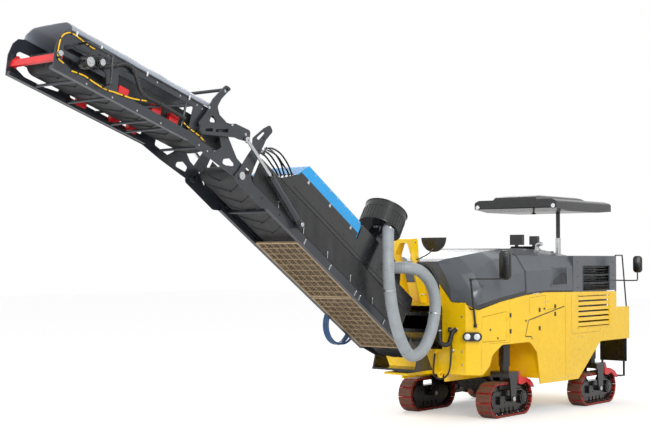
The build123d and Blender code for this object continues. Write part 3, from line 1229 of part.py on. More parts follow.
def belt_drive():
    """Hydraulic motors on the left of the nose inside a tube guard."""
    y = UPPER_HALF_WIDTH
    s = UPPER_LENGTH - 420
    motor = disc_y(s, 340, 75, y - CONVEYOR_PLATE + BEARING_LAP + CLEAR, y + 120)
    motor += disc_y(s - 190, 420, 55, y, y + 90)
    motor += block(s - 190, s, y, y + 50, 340, 400)
    guard = rod((s - 330, y, 180), (s - 330, y + 150, 200), 14)
    guard += rod((s - 330, y + 150, 200), (s - 260, y + 150, 520), 14)
    guard += rod((s - 260, y + 150, 520), (s + 120, y + 150, 520), 14)
    guard += rod((s + 120, y + 150, 520), (s + 120, y, 520), 14)
    for p in ((s - 330, y + 150, 200), (s - 260, y + 150, 520), (s + 120, y + 150, 520)):
        guard += Pos(*p) * Sphere(14)
    guard &= block(s - 500, s + 300, y, y + 300, 0, 700)
    solids = [*motor.solids(), *guard.solids()]
    return Compound(children=[UPPER * p for p in solids])


def fold_links():
    """Lever and triangular mast on each side of the upper section."""
    y0 = LOWER_HALF_WIDTH + 12
    y1 = y0 + 22
    lever = prism([(860, 235, 40), (930, 260, 40), (930, 330, 40), (762, 416, 40), (389, 560, 60),
                   (337, 585, 40), (48, 600, 40), (20, 455, 30), (200, 420, 30), (280, 415, 60)], y0, y1)
    lever -= prism([(430, 425, 20), (640, 350, 20), (650, 385, 20), (430, 475, 20)], y0 - 1, y1 + 1)
    lever -= prism([(690, 335, 20), (820, 290, 20), (820, 325, 20), (700, 380, 20)], y0 - 1, y1 + 1)
    mast = prism([(971, 319, 30), (869, 521, 60), (800, 735, 60), (640, 985, 30), (540, 985, 30),
                  (665, 790, 40), (705, 666, 60), (590, 520, 40), (389, 553), (500, 440), (860, 330)], y0, y1)
    mast -= prism([(790, 425, 20), (765, 535, 20), (650, 470, 20)], y0 - 1, y1 + 1)
    spacer = disc_y(885, 290, 45, UPPER_HALF_WIDTH, y1 + 12)
    link = lever + mast + spacer
    chain_bar = disc_y(590, 950, 22, -y1 - 20, y1 + 20)
    tied = link + mirrored(link) + chain_bar
    return UPPER * tied


def fold_cylinders():
    """Fold cylinders beside the lower section, open at the rod's eye."""
    y = LOWER_HALF_WIDTH + 68
    bottom = (3144, y, CHANNEL_TOP + 30)
    neck = (3983, y, 268 + 30)
    top = (4600, y, 425)
    ram = rod(bottom, neck, 42) + rod(neck, top, 22)
    ram += disc_y(bottom[0], bottom[2], 50, LOWER_HALF_WIDTH + RUNNING_GAP, y + 40)
    return LOWER * both_sides(ram)


def assemble():
    """Every node by name, in the machine's frame."""
    lead = blue_hose()
    pieces = {
        "main_frame": main_frame(),
        "side_wall_left": side_wall(),
        "side_wall_right": mirrored(side_wall()),
        "service_door_left": side_door(),
        "service_door_right": mirrored(side_door()),
        "column_tubes": column_tubes(),
        "engine_block": engine_block(),
        "cooler": cooler(),
        "hood_front": hood_front(),
        "hood_mid": hood_mid(),
        "rear_box": rear_box(),
        "rear_deck": rear_deck(),
        "platform": platform(),
        "console": console(),
        "canopy_post": canopy_post(),
        "canopy": canopy(),
        "rails_and_steps": Compound(children=[*handrails().solids(), *rear_steps().solids()]),
        "headlights": headlights(),
        "mirrors": mirrors(),
        "front_mast": front_mast(),
        "drum_housing": drum_housing(),
        "milling_drum": drum(),
        "edge_plate_right": side_plate(
            DRUM_RIGHT - END_GAP - HOUSING_PLATE - EDGE_PLATE_GAP - EDGE_PLATE, 1),
        "edge_plate_left": side_plate(
            DRUM_LEFT + END_GAP + HOUSING_PLATE + EDGE_PLATE_GAP, -1),
        "pickup_conveyor": pickup_conveyor(),
        "slew_frame": slew_frame(),
        "belt_shroud": belt_shroud(),
        "hose_bundle": hose_bundle(),
        "front_hose": front_hose(),
        "lower_frame": lower_frame(),
        "lower_belt": lower_belt(),
        "grilles": grilles(),
        "side_cloths": lower_cloth(),
        "lower_cover": lower_cover(),
        "blue_cover": blue_cover(),
        "fan_drum": fan_drum(),
        "suction_duct": suction_duct(),
        "blue_hose": lead,
        "blue_hose_coil": blue_hose_coil(lead),
        "fold_pins": fold_pin(),
        "fold_cylinders": fold_cylinders(),
        "upper_frame": upper_frame(),
        "upper_belt": upper_belt(),
        "red_brackets": red_brackets(),
        "upper_tarp": upper_tarp(),
        "belt_drive": belt_drive(),
        "fold_links": fold_links(),
    }
    for name, (x, y, radius, bottom) in LEGS.items():
        place = Pos(x, y, TRACK_RADIUS)
        leg = leg_yoke(radius, bottom)
        guard = track_guard()
        if y < 0:
            leg = mirrored(leg)
            guard = mirrored(guard)
        pieces["leg_" + name] = place * leg
        pieces["track_" + name] = place * track_loop()
        pieces["guard_" + name] = place * guard
    return pieces


PIECES = assemble()
BOUNDS = Compound(children=[s for p in PIECES.values() for s in p.solids()]).bounding_box()
X_SHIFT = -(BOUNDS.min.X + BOUNDS.max.X) / 2

os.makedirs("parts", exist_ok=True)
for name, piece in PIECES.items():
    export_step(Pos(X_SHIFT, 0, 0) * piece, "parts/" + name + ".step")
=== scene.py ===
"""Cold planer: finishes, fine details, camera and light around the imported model."""

from math import atan2, copysign, cos, hypot, pi, radians, sin, tan

import bmesh
import bpy
from mathutils import Matrix, Vector


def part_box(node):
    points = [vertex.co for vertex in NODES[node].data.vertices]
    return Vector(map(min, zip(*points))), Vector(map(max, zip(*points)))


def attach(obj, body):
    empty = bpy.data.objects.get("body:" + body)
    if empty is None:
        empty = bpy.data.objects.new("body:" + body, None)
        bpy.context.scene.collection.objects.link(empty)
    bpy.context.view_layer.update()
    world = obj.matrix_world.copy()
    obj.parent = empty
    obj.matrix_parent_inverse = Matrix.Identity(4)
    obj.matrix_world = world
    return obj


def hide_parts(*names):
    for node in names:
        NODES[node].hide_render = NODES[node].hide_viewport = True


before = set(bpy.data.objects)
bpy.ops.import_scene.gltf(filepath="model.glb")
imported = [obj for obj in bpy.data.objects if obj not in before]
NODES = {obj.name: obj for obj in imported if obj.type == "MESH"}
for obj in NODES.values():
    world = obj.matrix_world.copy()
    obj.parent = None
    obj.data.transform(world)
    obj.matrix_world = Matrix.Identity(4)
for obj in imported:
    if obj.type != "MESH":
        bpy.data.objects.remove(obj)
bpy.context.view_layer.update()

# Places are written in millimetres in the machine's frame: X = 0 midway between the axles.
REAR_END = -2.510
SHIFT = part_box("rear_deck")[0].x - REAR_END
LOWER_ORIGIN = (3468.0, 1200.8)
LOWER_TURN = radians(32.94)
UPPER_ORIGIN = (7130.0, 3600.0)
UPPER_TURN = radians(17.0)
LOWER = "conveyor_lower"
UPPER = "conveyor_upper"
SIDES = ((1, "left"), (-1, "right"))


def at(x, y, z):
    """Machine millimetres to scene metres."""
    return Vector((x / 1000 + SHIFT, y / 1000, z / 1000))


def on_belt(origin, turn, s, y, n):
    """Distances along and square to a conveyor section, as a scene point."""
    x = origin[0] + s * cos(turn) - n * sin(turn)
    z = origin[1] + s * sin(turn) + n * cos(turn)
    return at(x, y, z)


def low(s, y, n):
    return on_belt(LOWER_ORIGIN, LOWER_TURN, s, y, n)


def upp(s, y, n):
    return on_belt(UPPER_ORIGIN, UPPER_TURN, s, y, n)


# Materials
def linear(r, g, b):
    """An sRGB colour from 0 to 255 as a linear RGBA."""
    values = [c / 255 for c in (r, g, b)]
    return [c / 12.92 if c <= 0.04045 else ((c + 0.055) / 1.055) ** 2.4 for c in values] + [1.0]


DUST = linear(150, 142, 128)
WEAR_AND_HIGHLIGHT_WIDTH = 0.005
COAT_ROUGHNESS = 0.12


def fill(node, values=(), **named):
    """Sets inputs by number or by name, or links other nodes' outputs to them."""
    for key, value in list(enumerate(values)) + list(named.items()):
        socket = node.inputs[key if isinstance(key, int) else key.replace("_", " ")]
        if isinstance(value, bpy.types.NodeSocket):
            node.id_data.links.new(value, socket)
        else:
            socket.default_value = value
    return node


def add_node(tree, kind, values=(), **named):
    return fill(tree.nodes.new("ShaderNode" + kind), values, **named)


def material(name, rgb, rough, metal=0.0, vary=0.08, patch=2.5, grain=180.0, bump=0.0003,
             coat=0.0, sheen=0.0, dirt=0.0, edge=0.0, fabric=False):
    """A node material: colour patches, grain in the bump, dust on what faces up, edges painted lighter as
    wear and as a painted highlight.
    """
    colour = linear(*rgb)
    mat = bpy.data.materials.new(name)
    mat.use_nodes = True
    tree = mat.node_tree
    place = add_node(tree, "TexCoord").outputs["Object"]

    def noise(scale, detail):
        return add_node(tree, "TexNoise", Scale=scale, Detail=detail, Vector=place).outputs["Fac"]

    def mixed(factor, first, second):
        node = add_node(tree, "Mix")
        node.data_type = "RGBA"
        return fill(node, Factor=factor, A=first, B=second).outputs["Result"]

    def ramp(value, low_end, high_end, low_value, high_value):
        return add_node(tree, "MapRange", Value=value, From_Min=low_end, From_Max=high_end,
                        To_Min=low_value, To_Max=high_value).outputs["Result"]

    darker = [c * (1 - vary) for c in colour[:3]] + [1.0]
    lighter = [min(1.0, c * (1 + vary) + 0.02 * vary) for c in colour[:3]] + [1.0]
    shade = mixed(ramp(noise(patch, 6.0), 0.35, 0.65, 0.0, 1.0), darker, lighter)
    if fabric:
        height = add_node(tree, "TexWave", Scale=grain, Distortion=1.0, Vector=place).outputs["Fac"]
    else:
        height = noise(grain, 3.0)
    relief = add_node(tree, "Bump", Strength=0.5, Distance=bump, Height=height)
    if edge:
        bevel = add_node(tree, "Bevel", Radius=WEAR_AND_HIGHLIGHT_WIDTH)
        bevel.samples = 3
        rounded_normal = bevel.outputs["Normal"]
        true_normal = add_node(tree, "NewGeometry").outputs["True Normal"]
        dot = add_node(tree, "VectorMath", (rounded_normal, true_normal))
        dot.operation = "DOT_PRODUCT"
        wear_and_highlight = ramp(dot.outputs["Value"], 0.99, 0.82, 0.0, edge)
        # Edges get a brighter copy of the paint: partly wear, partly a painted highlight where edges catch
        # the light.
        shade = mixed(wear_and_highlight, shade, [min(1.0, c * 1.6 + 0.06) for c in colour[:3]] + [1.0])
        fill(relief, Normal=rounded_normal)
    if dirt:
        facing = add_node(tree, "SeparateXYZ", Vector=add_node(tree, "NewGeometry").outputs["Normal"])
        shade = mixed(ramp(facing.outputs["Z"], 0.2, 1.0, 0.0, dirt), shade, DUST)
    spread = ramp(noise(9.0, 5.0), 0.3, 0.7, max(0.02, rough - 0.06), rough + 0.06)
    fill(tree.nodes["Principled BSDF"], Base_Color=shade, Roughness=spread, Metallic=metal,
         Normal=relief.outputs["Normal"], Coat_Weight=coat, Coat_Roughness=COAT_ROUGHNESS, Sheen_Weight=sheen)
    return mat


YELLOW = material("yellow_paint", (252, 205, 10), 0.28, coat=0.3, vary=0.03, grain=60, bump=4e-5, edge=0.08)
SLATE = material("slate_paint", (78, 83, 89), 0.32, coat=0.3, vary=0.05, grain=60, bump=4e-5, edge=0.12)
DARK = material("dark_slate_paint", (38, 42, 49), 0.34, coat=0.25, vary=0.1, bump=6e-5, edge=0.15)
BLACK = material("black_paint", (14, 15, 17), 0.26, coat=0.35, vary=0.12, bump=5e-5, edge=0.12)
PLASTIC = material("black_plastic", (18, 19, 21), 0.3, vary=0.08, grain=420, bump=6e-5, coat=0.3)
BLUE = material("blue_paint", (0, 150, 216), 0.28, coat=0.3, vary=0.04, bump=5e-5, edge=0.08)
RED = material("red_paint", (206, 28, 32), 0.36, coat=0.15, vary=0.1, edge=0.25)
STEEL = material("bright_steel", (196, 198, 200), 0.24, metal=1.0, vary=0.06, patch=14, grain=300)
BRONZE = material("mesh_bronze", (176, 152, 118), 0.4, metal=0.3, vary=0.16, patch=12)
BROWN = material("track_pads", (104, 62, 46), 0.62, vary=0.2, patch=20, grain=240, bump=0.0008, dirt=0.15)
CHAIN = material("track_chain", (58, 44, 38), 0.48, metal=0.5, vary=0.3, patch=25, bump=0.0006)
BELT = material("belt_rubber", (26, 27, 30), 0.5, vary=0.14, patch=8, grain=260, bump=0.0007)
CLOTH = material("black_cloth", (12, 13, 15), 0.3, vary=0.15, patch=4, sheen=0.1, grain=500, bump=0.0005,
                 fabric=True)
TARP = material("grey_tarpaulin", (142, 150, 162), 0.5, vary=0.1, patch=3, sheen=0.3, grain=420, bump=0.0004,
                fabric=True, dirt=0.1)
DUCT = material("grey_hose", (150, 156, 160), 0.45, vary=0.08, patch=6, grain=200, bump=0.0005)
HOSE = material("hose_rubber", (24, 24, 26), 0.45, vary=0.12, patch=12, grain=400)
DRUM = material("drum_steel", (84, 76, 68), 0.55, metal=0.6, vary=0.3, patch=12, bump=0.001)
LAMP = material("lamp_lens", (225, 230, 235), 0.08, metal=0.3, vary=0.05, patch=40, coat=0.8)
SEAM = material("seam", (44, 42, 36), 0.5, vary=0.1)
CABLE = material("amber_cable", (232, 184, 20), 0.4, vary=0.06, patch=12)
BLUE_HOSE = material("blue_hose", (44, 84, 130), 0.38, vary=0.1, patch=8, coat=0.2)
WHITE_RUBBER = material("white_rubber", (214, 216, 216), 0.5, vary=0.05)
PLATE_RED = material("plate_red", (172, 34, 32), 0.45, vary=0.18, patch=14, edge=0.2, dirt=0.1)

NODE_MATERIALS = {name: paint for paint, names in (
    (YELLOW, "main_frame side_wall service_door rear_deck front_mast"),
    (BLACK, "column_tubes engine_block cooler rails_and_steps belt_shroud pickup_conveyor slew_frame "
            "lower_cover fan_drum belt_drive leg_"),
    (SLATE, "hood rear_box platform"), (PLASTIC, "console canopy headlights mirrors"),
    (STEEL, "canopy_post fold_pins"), (HOSE, "hose_bundle front_hose"), (BLUE, "blue_hose blue_cover"),
    (DARK, "drum_housing edge_plate lower_frame fold_cylinders upper_frame fold_links"),
    (DRUM, "milling_drum"), (BELT, "lower_belt upper_belt"), (BRONZE, "grilles"), (BROWN, "track_"),
    (CLOTH, "side_cloths"), (TARP, "upper_tarp"), (RED, "red_brackets guard_"), (DUCT, "suction_duct"),
) for name in names.split()}
for node_name, node in NODES.items():
    best = max((k for k in NODE_MATERIALS if node_name.startswith(k)), key=len)
    node.data.materials.clear()
    node.data.materials.append(NODE_MATERIALS[best])


# Places: each maps millimetres (u, v, w) to the scene
MACHINE = Matrix.Translation((SHIFT, 0, 0)) @ Matrix.Scale(0.001, 4)
SIDE = Matrix(((1, 0, 0, 0), (0, 0, 1, 0), (0, 1, 0, 0), (0, 0, 0, 1)))
FRONT = Matrix(((0, 0, 1, 0), (1, 0, 0, 0), (0, 1, 0, 0), (0, 0, 0, 1)))
FACE = MACHINE @ FRONT


def section_place(origin, turn):
    """Matrix of a conveyor section: (s, y, n) in millimetres to the scene."""
    x, z = origin
    return MACHINE @ Matrix.Translation((x, 0, z)) @ Matrix.Rotation(-turn, 4, "Y")


LOWM = section_place(LOWER_ORIGIN, LOWER_TURN)
UPPM = section_place(UPPER_ORIGIN, UPPER_TURN)


def moved(place, x, y, z=0):
    return place @ Matrix.Translation((x, y, z))


def side_plane(place, y):
    """Plane across y: u forwards, v up and w outwards to the left."""
    return moved(place, 0, y) @ SIDE


def circle(count, radius, u=0.0, v=0.0, start=0.0, step=0.0):
    """Spots (u, v) around a centre, spread over the whole turn or a step apart."""
    turns = [(step * k if step else 2 * pi * k / count) + start for k in range(count)]
    return [(u + radius * cos(a), v + radius * sin(a)) for a in turns]


class Shape:
    """Loose solids gathered into one mesh piece."""

    def __init__(self):
        self.verts = []
        self.faces = []

    def loft(self, rings, closed=False):
        """Skin between rings of equal count, capped at its ends unless it closes on itself."""
        first = len(self.verts)
        count = len(rings[0])
        faces = []
        for i in range(len(rings) if closed else len(rings) - 1):
            near = i * count
            far = (i + 1) % len(rings) * count
            for j in range(count):
                after = (j + 1) % count
                faces.append((near + j, near + after, far + after, far + j))
        if not closed:
            faces.append(tuple(range(count))[::-1])
            faces.append(tuple(range((len(rings) - 1) * count, len(rings) * count)))
        self.verts += [tuple(p) for ring in rings for p in ring]
        self.faces += [tuple(first + i for i in face) for face in faces]

    def prism(self, place, points, w0, w1):
        """A polygon in the place's u-v plane, thick from w0 to w1."""
        self.loft([[place @ Vector((u, v, w)) for u, v in points] for w in (w0, w1)])

    def box(self, place, u0, u1, v0, v1, w0, w1):
        self.prism(place, [(u0, v0), (u1, v0), (u1, v1), (u0, v1)], w0, w1)

    def turned(self, place, u, v, rows, sides=20):
        """A turned solid about w through (u, v), from (radius, w) rows."""
        self.loft([[place @ Vector((*spot, w)) for spot in circle(sides, r, u, v)] for r, w in rows])

    def disc(self, place, u, v, radius, w0, w1, sides=20, chamfer=0.0):
        """A round with a chamfered far edge."""
        rows = [(radius, w0), (radius, w1)]
        if chamfer:
            rows[1:] = [(radius, w1 - copysign(chamfer, w1 - w0)), (radius - chamfer, w1)]
        self.turned(place, u, v, rows, sides)

    def bolts(self, place, spots, w, radius=11.0, height=8.0):
        """Hexagon heads on washers."""
        out = copysign(1.0, height)
        for u, v in spots:
            self.disc(place, u, v, radius * 1.35, w, w + 2.5 * out, 12)
            self.disc(place, u, v, radius, w + 2 * out, w + height, 6, 1.5)

    def tube(self, points, radius, sides=10, closed=False):
        """A round bar along scene points; radius may be a list, one for each point."""
        radii = radius if isinstance(radius, list) else [radius] * len(points)
        rings = []
        side = None
        for i, p in enumerate(points):
            if closed:
                ahead = points[(i + 1) % len(points)] - points[i - 1]
            else:
                ahead = points[min(i + 1, len(points) - 1)] - points[max(i - 1, 0)]
            ahead.normalize()
            if side is None:
                side = ahead.orthogonal()
            side = (side - ahead * side.dot(ahead)).normalized()
            other = ahead.cross(side)
            rings.append([p + radii[i] / 1000 * (c * side + s * other) for c, s in circle(sides, 1.0)])
        self.loft(rings, closed)

    def ribbed_tube(self, path, radius, rib, sides):
        """A tube whose radius swells at every fourth point."""
        self.tube(path, [radius + rib * cos(pi * i / 2) for i in range(len(path))], sides)

    def finish(self, name, paint, body, bevel=0.0, rest=0.6):
        """The gathered solids as one piece that rides on a body."""
        mesh = bpy.data.meshes.new(name)
        mesh.from_pydata(self.verts, [], self.faces)
        work = bmesh.new()
        work.from_mesh(mesh)
        bmesh.ops.recalc_face_normals(work, faces=work.faces)
        work.to_mesh(mesh)
        work.free()
        mesh.polygons.foreach_set("use_smooth", [True] * len(mesh.polygons))
        mesh.set_sharp_from_angle(angle=rest)
        return hold(name, mesh, paint, body, bevel)


def linked(name, data):
    thing = bpy.data.objects.new(name, data)
    bpy.context.scene.collection.objects.link(thing)
    return thing


def hold(name, data, paint, body, bevel=0.0):
    """A new piece, painted and seated on its body."""
    thing = linked(name, data)
    thing.data.materials.append(paint)
    if bevel:
        edge = thing.modifiers.new("edge", "BEVEL")
        edge.width = bevel / 1000
        edge.segments = 2
        edge.limit_method = "ANGLE"
    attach(thing, body)
    return thing


def smooth_path(points, per):
    """Points along a Catmull-Rom curve through the given ones."""
    ends = [2 * points[0] - points[1]] + points + [2 * points[-1] - points[-2]]
    path = []
    for a, b, c, d in zip(ends, ends[1:], ends[2:], ends[3:]):
        for i in range(per):
            t = i / per
            path.append(0.5 * (2 * b + (c - a) * t + (2 * a - 5 * b + 4 * c - d) * t ** 2
                               + (3 * b - a - 3 * c + d) * t ** 3))
    return path + [points[-1]]


def even_path(path, step):
    """The same path with points a step apart, in metres."""
    walk = [path[0]]
    left = step
    for a, b in zip(path, path[1:]):
        run = (b - a).length
        while run > left:
            a = a + (b - a) * (left / run)
            walk.append(a.copy())
            run = (b - a).length
            left = step
        left -= run
    return walk


def sided(points, side=1):
    """Machine points as scene points, on the left or mirrored to the right."""
    return [at(x, side * y, z) for x, y, z in points]


def round_loop(travel, half, radius):
    """Along a loop of two straights and two bends: distance from the middle, and the turn."""
    bend = pi * radius
    travel %= 4 * half + 2 * bend
    if travel < 2 * half:
        return travel - half, 0.0
    if travel < 2 * half + bend:
        return half, (travel - 2 * half) / radius
    if travel < 4 * half + bend:
        return half - (travel - 2 * half - bend), pi
    return -half, pi + (travel - 4 * half - bend) / radius


# Tracks: pads on red plates, chain links with bright pins
TRACK_RADIUS = 281
TRACK_HALF = 384
SHOES = 20
SHOE_PITCH = (4 * TRACK_HALF + 2 * pi * TRACK_RADIUS) / SHOES
AXLE = 1233
LEGS = {"front_left": (AXLE, 755), "front_right": (AXLE, -755),
        "rear_left": (-AXLE, 1031), "rear_right": (-AXLE, -1031)}
PAD = [(-64, 255), (-64, 270), (-55, 279), (-6, 279), (-3, 275), (3, 275), (6, 279), (55, 279), (64, 270),
       (64, 255)]
PLATE = [(-72, 243), (-72, 267), (-66, 269), (-65, 255), (65, 255), (66, 269), (72, 267), (72, 243)]
LINK = [(-58, 219), (58, 219), (74, 232), (68, 244), (-68, 244), (-74, 232)]
CAP_ANGLES = (0.5, 1.6, 2.6, 3.7, 4.7, 5.8)


def on_loop(shoes, x0, y0):
    """Plane at a place of the loop: u along it, v outwards, w across."""
    x, turn = round_loop(shoes * SHOE_PITCH, TRACK_HALF, TRACK_RADIUS)
    return moved(MACHINE, x0 + x, y0, TRACK_RADIUS) @ Matrix.Rotation(turn, 4, "Y") @ SIDE


def track(name, x0, y0):
    body = "leg_" + name
    pads, plates, chain, pins = Shape(), Shape(), Shape(), Shape()
    for i in range(SHOES):
        shoe = on_loop(i, x0, y0)
        pads.prism(shoe, PAD, -126, 126)
        plates.prism(shoe, PLATE, -133, 133)
        for side in (-1, 1):
            chain.prism(shoe, LINK, side * 46, side * 70)
            pins.bolts(shoe, [(-30, 233), (30, 233)], side * 70, 7, side * 6)
            chain.box(shoe, -52, -30, 226, 245, side * 78, side * 124)
            chain.box(shoe, 30, 52, 226, 245, side * 78, side * 124)
        joint = on_loop(i + 0.5, x0, y0)
        chain.disc(joint, 0, 232, 13, -76, 76, 12)
        pins.disc(joint, 0, 232, 8, 76, 80, 10)
        pins.disc(joint, 0, 232, 8, -76, -80, 10)
    shown = pads.finish("track_pads_" + name, BROWN, body, rest=0.4)
    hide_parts("track_" + name)
    plates.finish("track_plates_" + name, PLATE_RED, body)
    chain.finish("track_links_" + name, CHAIN, body)
    pins.finish("track_pins_" + name, STEEL, body)
    side = copysign(1.0, y0)
    place = moved(MACHINE, x0, y0, TRACK_RADIUS) @ SIDE
    caps = Shape()
    for face in (-1, 1):
        caps.disc(place, 0, 0, 38, face * 183, face * 189, 28, 3)
        caps.bolts(place, [(26 * cos(a), 26 * sin(a)) for a in CAP_ANGLES], face * 189, 4.5, face * 5)
    caps.finish("leg_caps_" + name, STEEL, body)
    hub = Shape()
    hub.disc(place, -TRACK_HALF, 0, 74, side * 127, side * 139, 28, 5)
    hub.disc(place, -TRACK_HALF, 0, 34, side * 139, side * 146, 20, 4)
    hub.bolts(place, circle(10, 90, -TRACK_HALF, step=0.628), side * 127, 8, side * 8)
    hub.box(place, 170, 330, -70, 60, side * 75, side * 120)
    hub.bolts(place, [(195, -45), (305, -45), (195, 35), (305, 35)], side * 120, 8, side * 8)
    hub.finish("leg_hub_" + name, BLACK, body, 3.0)


for leg_name, (leg_x, leg_y) in LEGS.items():
    track(leg_name, leg_x, leg_y)


# Body: stripe, seams, latches and bolts
WALL_HALF = 1130
TAPER_START = -255
TAPER_LENGTH = 2598
TAPER_DEPTH = 145


def wall_y(x):
    """Outer face of the side wall at x."""
    return WALL_HALF - max(0.0, TAPER_DEPTH / TAPER_LENGTH * (x - TAPER_START))


def wall_place(x, side):
    """Matrix on the wall: u forwards along it, v up, w outwards."""
    angle = 0.0 if x <= TAPER_START else -atan2(TAPER_DEPTH, TAPER_LENGTH) * side
    return (moved(MACHINE, x, side * wall_y(x)) @ Matrix.Rotation(angle, 4, "Z") @ SIDE
            @ Matrix.Scale(side, 4, (0, 0, 1)))


def ribbon(shape, points, side, width, lift):
    """A flat band on the wall along (x, z) points."""
    for (x0, z0), (x1, z1) in zip(points, points[1:]):
        run = hypot(x1 - x0, z1 - z0)
        dx, dz = -(z1 - z0) / run * width / 2, (x1 - x0) / run * width / 2
        corners = [(x0 + dx, z0 + dz), (x1 + dx, z1 + dz), (x1 - dx, z1 - dz), (x0 - dx, z0 - dz)]
        shape.loft([[at(x, side * (wall_y(x) + out), z) for x, z in corners] for out in (-1.0, lift)])


STRIPE = [(870, 1228), (905, 1275), (1075, 1283), (980, 1541), (-97, 1740)]
WALL_SEAMS = [
    [(1515, 1880), (1515, 1215), (2080, 1215)], [(955, 1905), (955, 1660)],
    [(955, 1905), (480, 1935), (480, 1640)], [(410, 1700), (200, 1710)], [(-130, 1960), (-130, 560)],
    [(-330, 1930), (-330, 1265), (-1330, 1265), (-1420, 1340)], [(2290, 1180), (2290, 860)],
]
LATCHES = ((1500, 1640), (1500, 1385), (660, 1700), (660, 1400), (190, 1745), (190, 1620))
LOCKS = ((1060, 1535), (520, 1715), (2050, 1430), (1850, 1290))
WALL_BOLTS = ((-560, 1205), (-700, 1210), (-420, 1300), (-900, 1330), (-480, 1640), (-1640, 1330),
              (-1500, 1200), (-600, 985), (780, 1950), (640, 1960), (520, 1825), (400, 1830))
for side, word in SIDES:
    stripe, knobs, rivets, rim = Shape(), Shape(), Shape(), Shape()
    ribbon(stripe, STRIPE, side, 17, 0.8)
    for points in WALL_SEAMS:
        ribbon(stripe, points, side, 4, 0.5)
    stripe.finish("wall_stripe_" + word, SEAM, "chassis")
    for x, z in LATCHES:
        knobs.box(wall_place(x, side), -22, 22, z - 34, z + 34, 0, 9)
    for x, z in LOCKS:
        knobs.disc(wall_place(x, side), 0, z, 17, 0, 10, 16, 3)
    knobs.finish("wall_latches_" + word, PLASTIC, "chassis", 3.0)
    for x, z in WALL_BOLTS:
        rivets.bolts(wall_place(x, side), [(0, z)], 0, 8, 5)
    for k in range(9):
        rivets.bolts(wall_place(560 - 130 * k, side), [(0, 520 + 6 * k)], 0, 7, 5)
    rivets.finish("wall_bolts_" + word, STEEL, "chassis")
    for u0, u1, z0, z1 in ((-745, 453, 1345, 1362), (-745, 453, 1903, 1920), (-745, -726, 1345, 1920),
                           (434, 453, 1345, 1920)):
        rim.box(wall_place(-1000, side), u0, u1, z0, z1, -4, 6)
    rim.finish("louvre_rim_" + word, YELLOW, "chassis", 3.0)


# Hood: seam rubbers, a black band along the lower edge that is partly a dark edge strip and partly the
# painted shadow under the edge, side window
HOOD_ROWS = [
    # x, then half width and height of the base, the waist, the shoulder and the crest
    (2343, 985, 1755, 860, 2010, 650, 2300, 400, 2545),
    (2230, wall_y(2230) - 1, 1782, 950, 2080, 800, 2328, 540, 2575),
    (1745, wall_y(1745), 1868, wall_y(1745) - 10, 2240, 850, 2527, 640, 2645),
    (1050, wall_y(1050), 1958, wall_y(1050) - 10, 2330, 880, 2590, 560, 2700),
    (485, wall_y(485), 1993, wall_y(485) - 10, 2350, 960, 2590, 560, 2712),
    (-398, 1130, 1983, 1122, 2400, 1060, 2585, 560, 2690),
]
# Black bands along the hood's lower edge: a dark edge strip that also stands in for the shadow under the edge
# (painted shadow).
LOWER_EDGE_SHADOW_BANDS = (((2343, 2230, 2000, 1745, 1400, 1060), ((2, -1), (2, 4), (58, 4), (62, -1))),
              ((1040, 760, 485, 100, -380), ((2, -1), (2, 3), (22, 3), (24, -1))))
SEAM_X = 1050
SEAM_LIFT = 5


def hood_row(x):
    """The hood's cross-section at x, between the given ones."""
    for near, far in zip(HOOD_ROWS, HOOD_ROWS[1:]):
        if far[0] <= x <= near[0]:
            t = (near[0] - x) / (near[0] - far[0])
            return [a + (b - a) * t for a, b in zip(near, far)]
    raise ValueError(x)


def hood_flank(x, z, side, lift):
    """A point on the hood's flank or the slope over it."""
    row = hood_row(x)
    y0, z0, y1, z1 = row[1:5] if z <= row[4] else row[3:7]
    return at(x, side * (y0 + (y1 - y0) * (z - z0) / (z1 - z0) + lift), z)


def flank_panel(shape, corners, side, low_lift, high_lift):
    shape.loft([[hood_flank(x, z, side, lift) for x, z in corners] for lift in (low_lift, high_lift)])


# The lower-edge bands paint the shadow under the hood's edge in black; the crest band is the seam rubber.
seam_rubbers_and_shadow_bands = Shape()
for side in (1, -1):
    for xs, outline in LOWER_EDGE_SHADOW_BANDS:
        seam_rubbers_and_shadow_bands.loft([[hood_flank(x, hood_row(x)[2] + rise, side, lift) for rise, lift in outline] for x in xs])
row = hood_row(SEAM_X)
crest = list(zip(row[1::2], row[2::2]))
crest += [(-y, z) for y, z in reversed(crest)]
for (y0, z0), (y1, z1) in zip(crest, crest[1:]):
    run = hypot(y1 - y0, z1 - z0)
    out_y = SEAM_LIFT * copysign(abs(z0 - z1) / run, y0 + y1)
    out_z = SEAM_LIFT * abs(y1 - y0) / run
    lifted = [(y0, z0), (y1, z1), (y1 + out_y, z1 + out_z), (y0 + out_y, z0 + out_z)]
    seam_rubbers_and_shadow_bands.loft([[at(x, y, z) for y, z in lifted] for x in (1032, 1072)])
seam_rubbers_and_shadow_bands.finish("hood_seams_and_shadow_bands", BLACK, "hood", 1.5)

WINDOW = [(270, 2100), (-190, 2115), (-190, 2395), (215, 2380)]
WINDOW_MID = (20, 2250)
outer = [(WINDOW_MID[0] + (x - WINDOW_MID[0]) * 1.16, WINDOW_MID[1] + (z - WINDOW_MID[1]) * 1.2)
         for x, z in WINDOW]
for side, word in SIDES:
    frame_ring, pane, mesh_bars = Shape(), Shape(), Shape()
    for k in range(4):
        corners = [WINDOW[k], WINDOW[(k + 1) % 4], outer[(k + 1) % 4], outer[k]]
        flank_panel(frame_ring, corners, side, -2, 9)
    frame_ring.finish("window_frame_" + word, SLATE, "hood", 2.0)
    flank_panel(pane, WINDOW, side, -1, 1.5)
    pane.finish("window_pane_" + word, BLACK, "hood")
    for z in range(2126, 2385, 26):
        end = 250 - (z - 2100) / 13
        flank_panel(mesh_bars, [(end, z), (-188, z), (-188, z + 5), (end, z + 5)], side, 1, 4)
    for x in range(-165, 236, 25):
        flank_panel(mesh_bars, [(x, 2112), (x + 4, 2112), (x + 4, 2378), (x, 2378)], side, 1, 3.5)
    mesh_bars.finish("window_mesh_" + word, DARK, "hood")


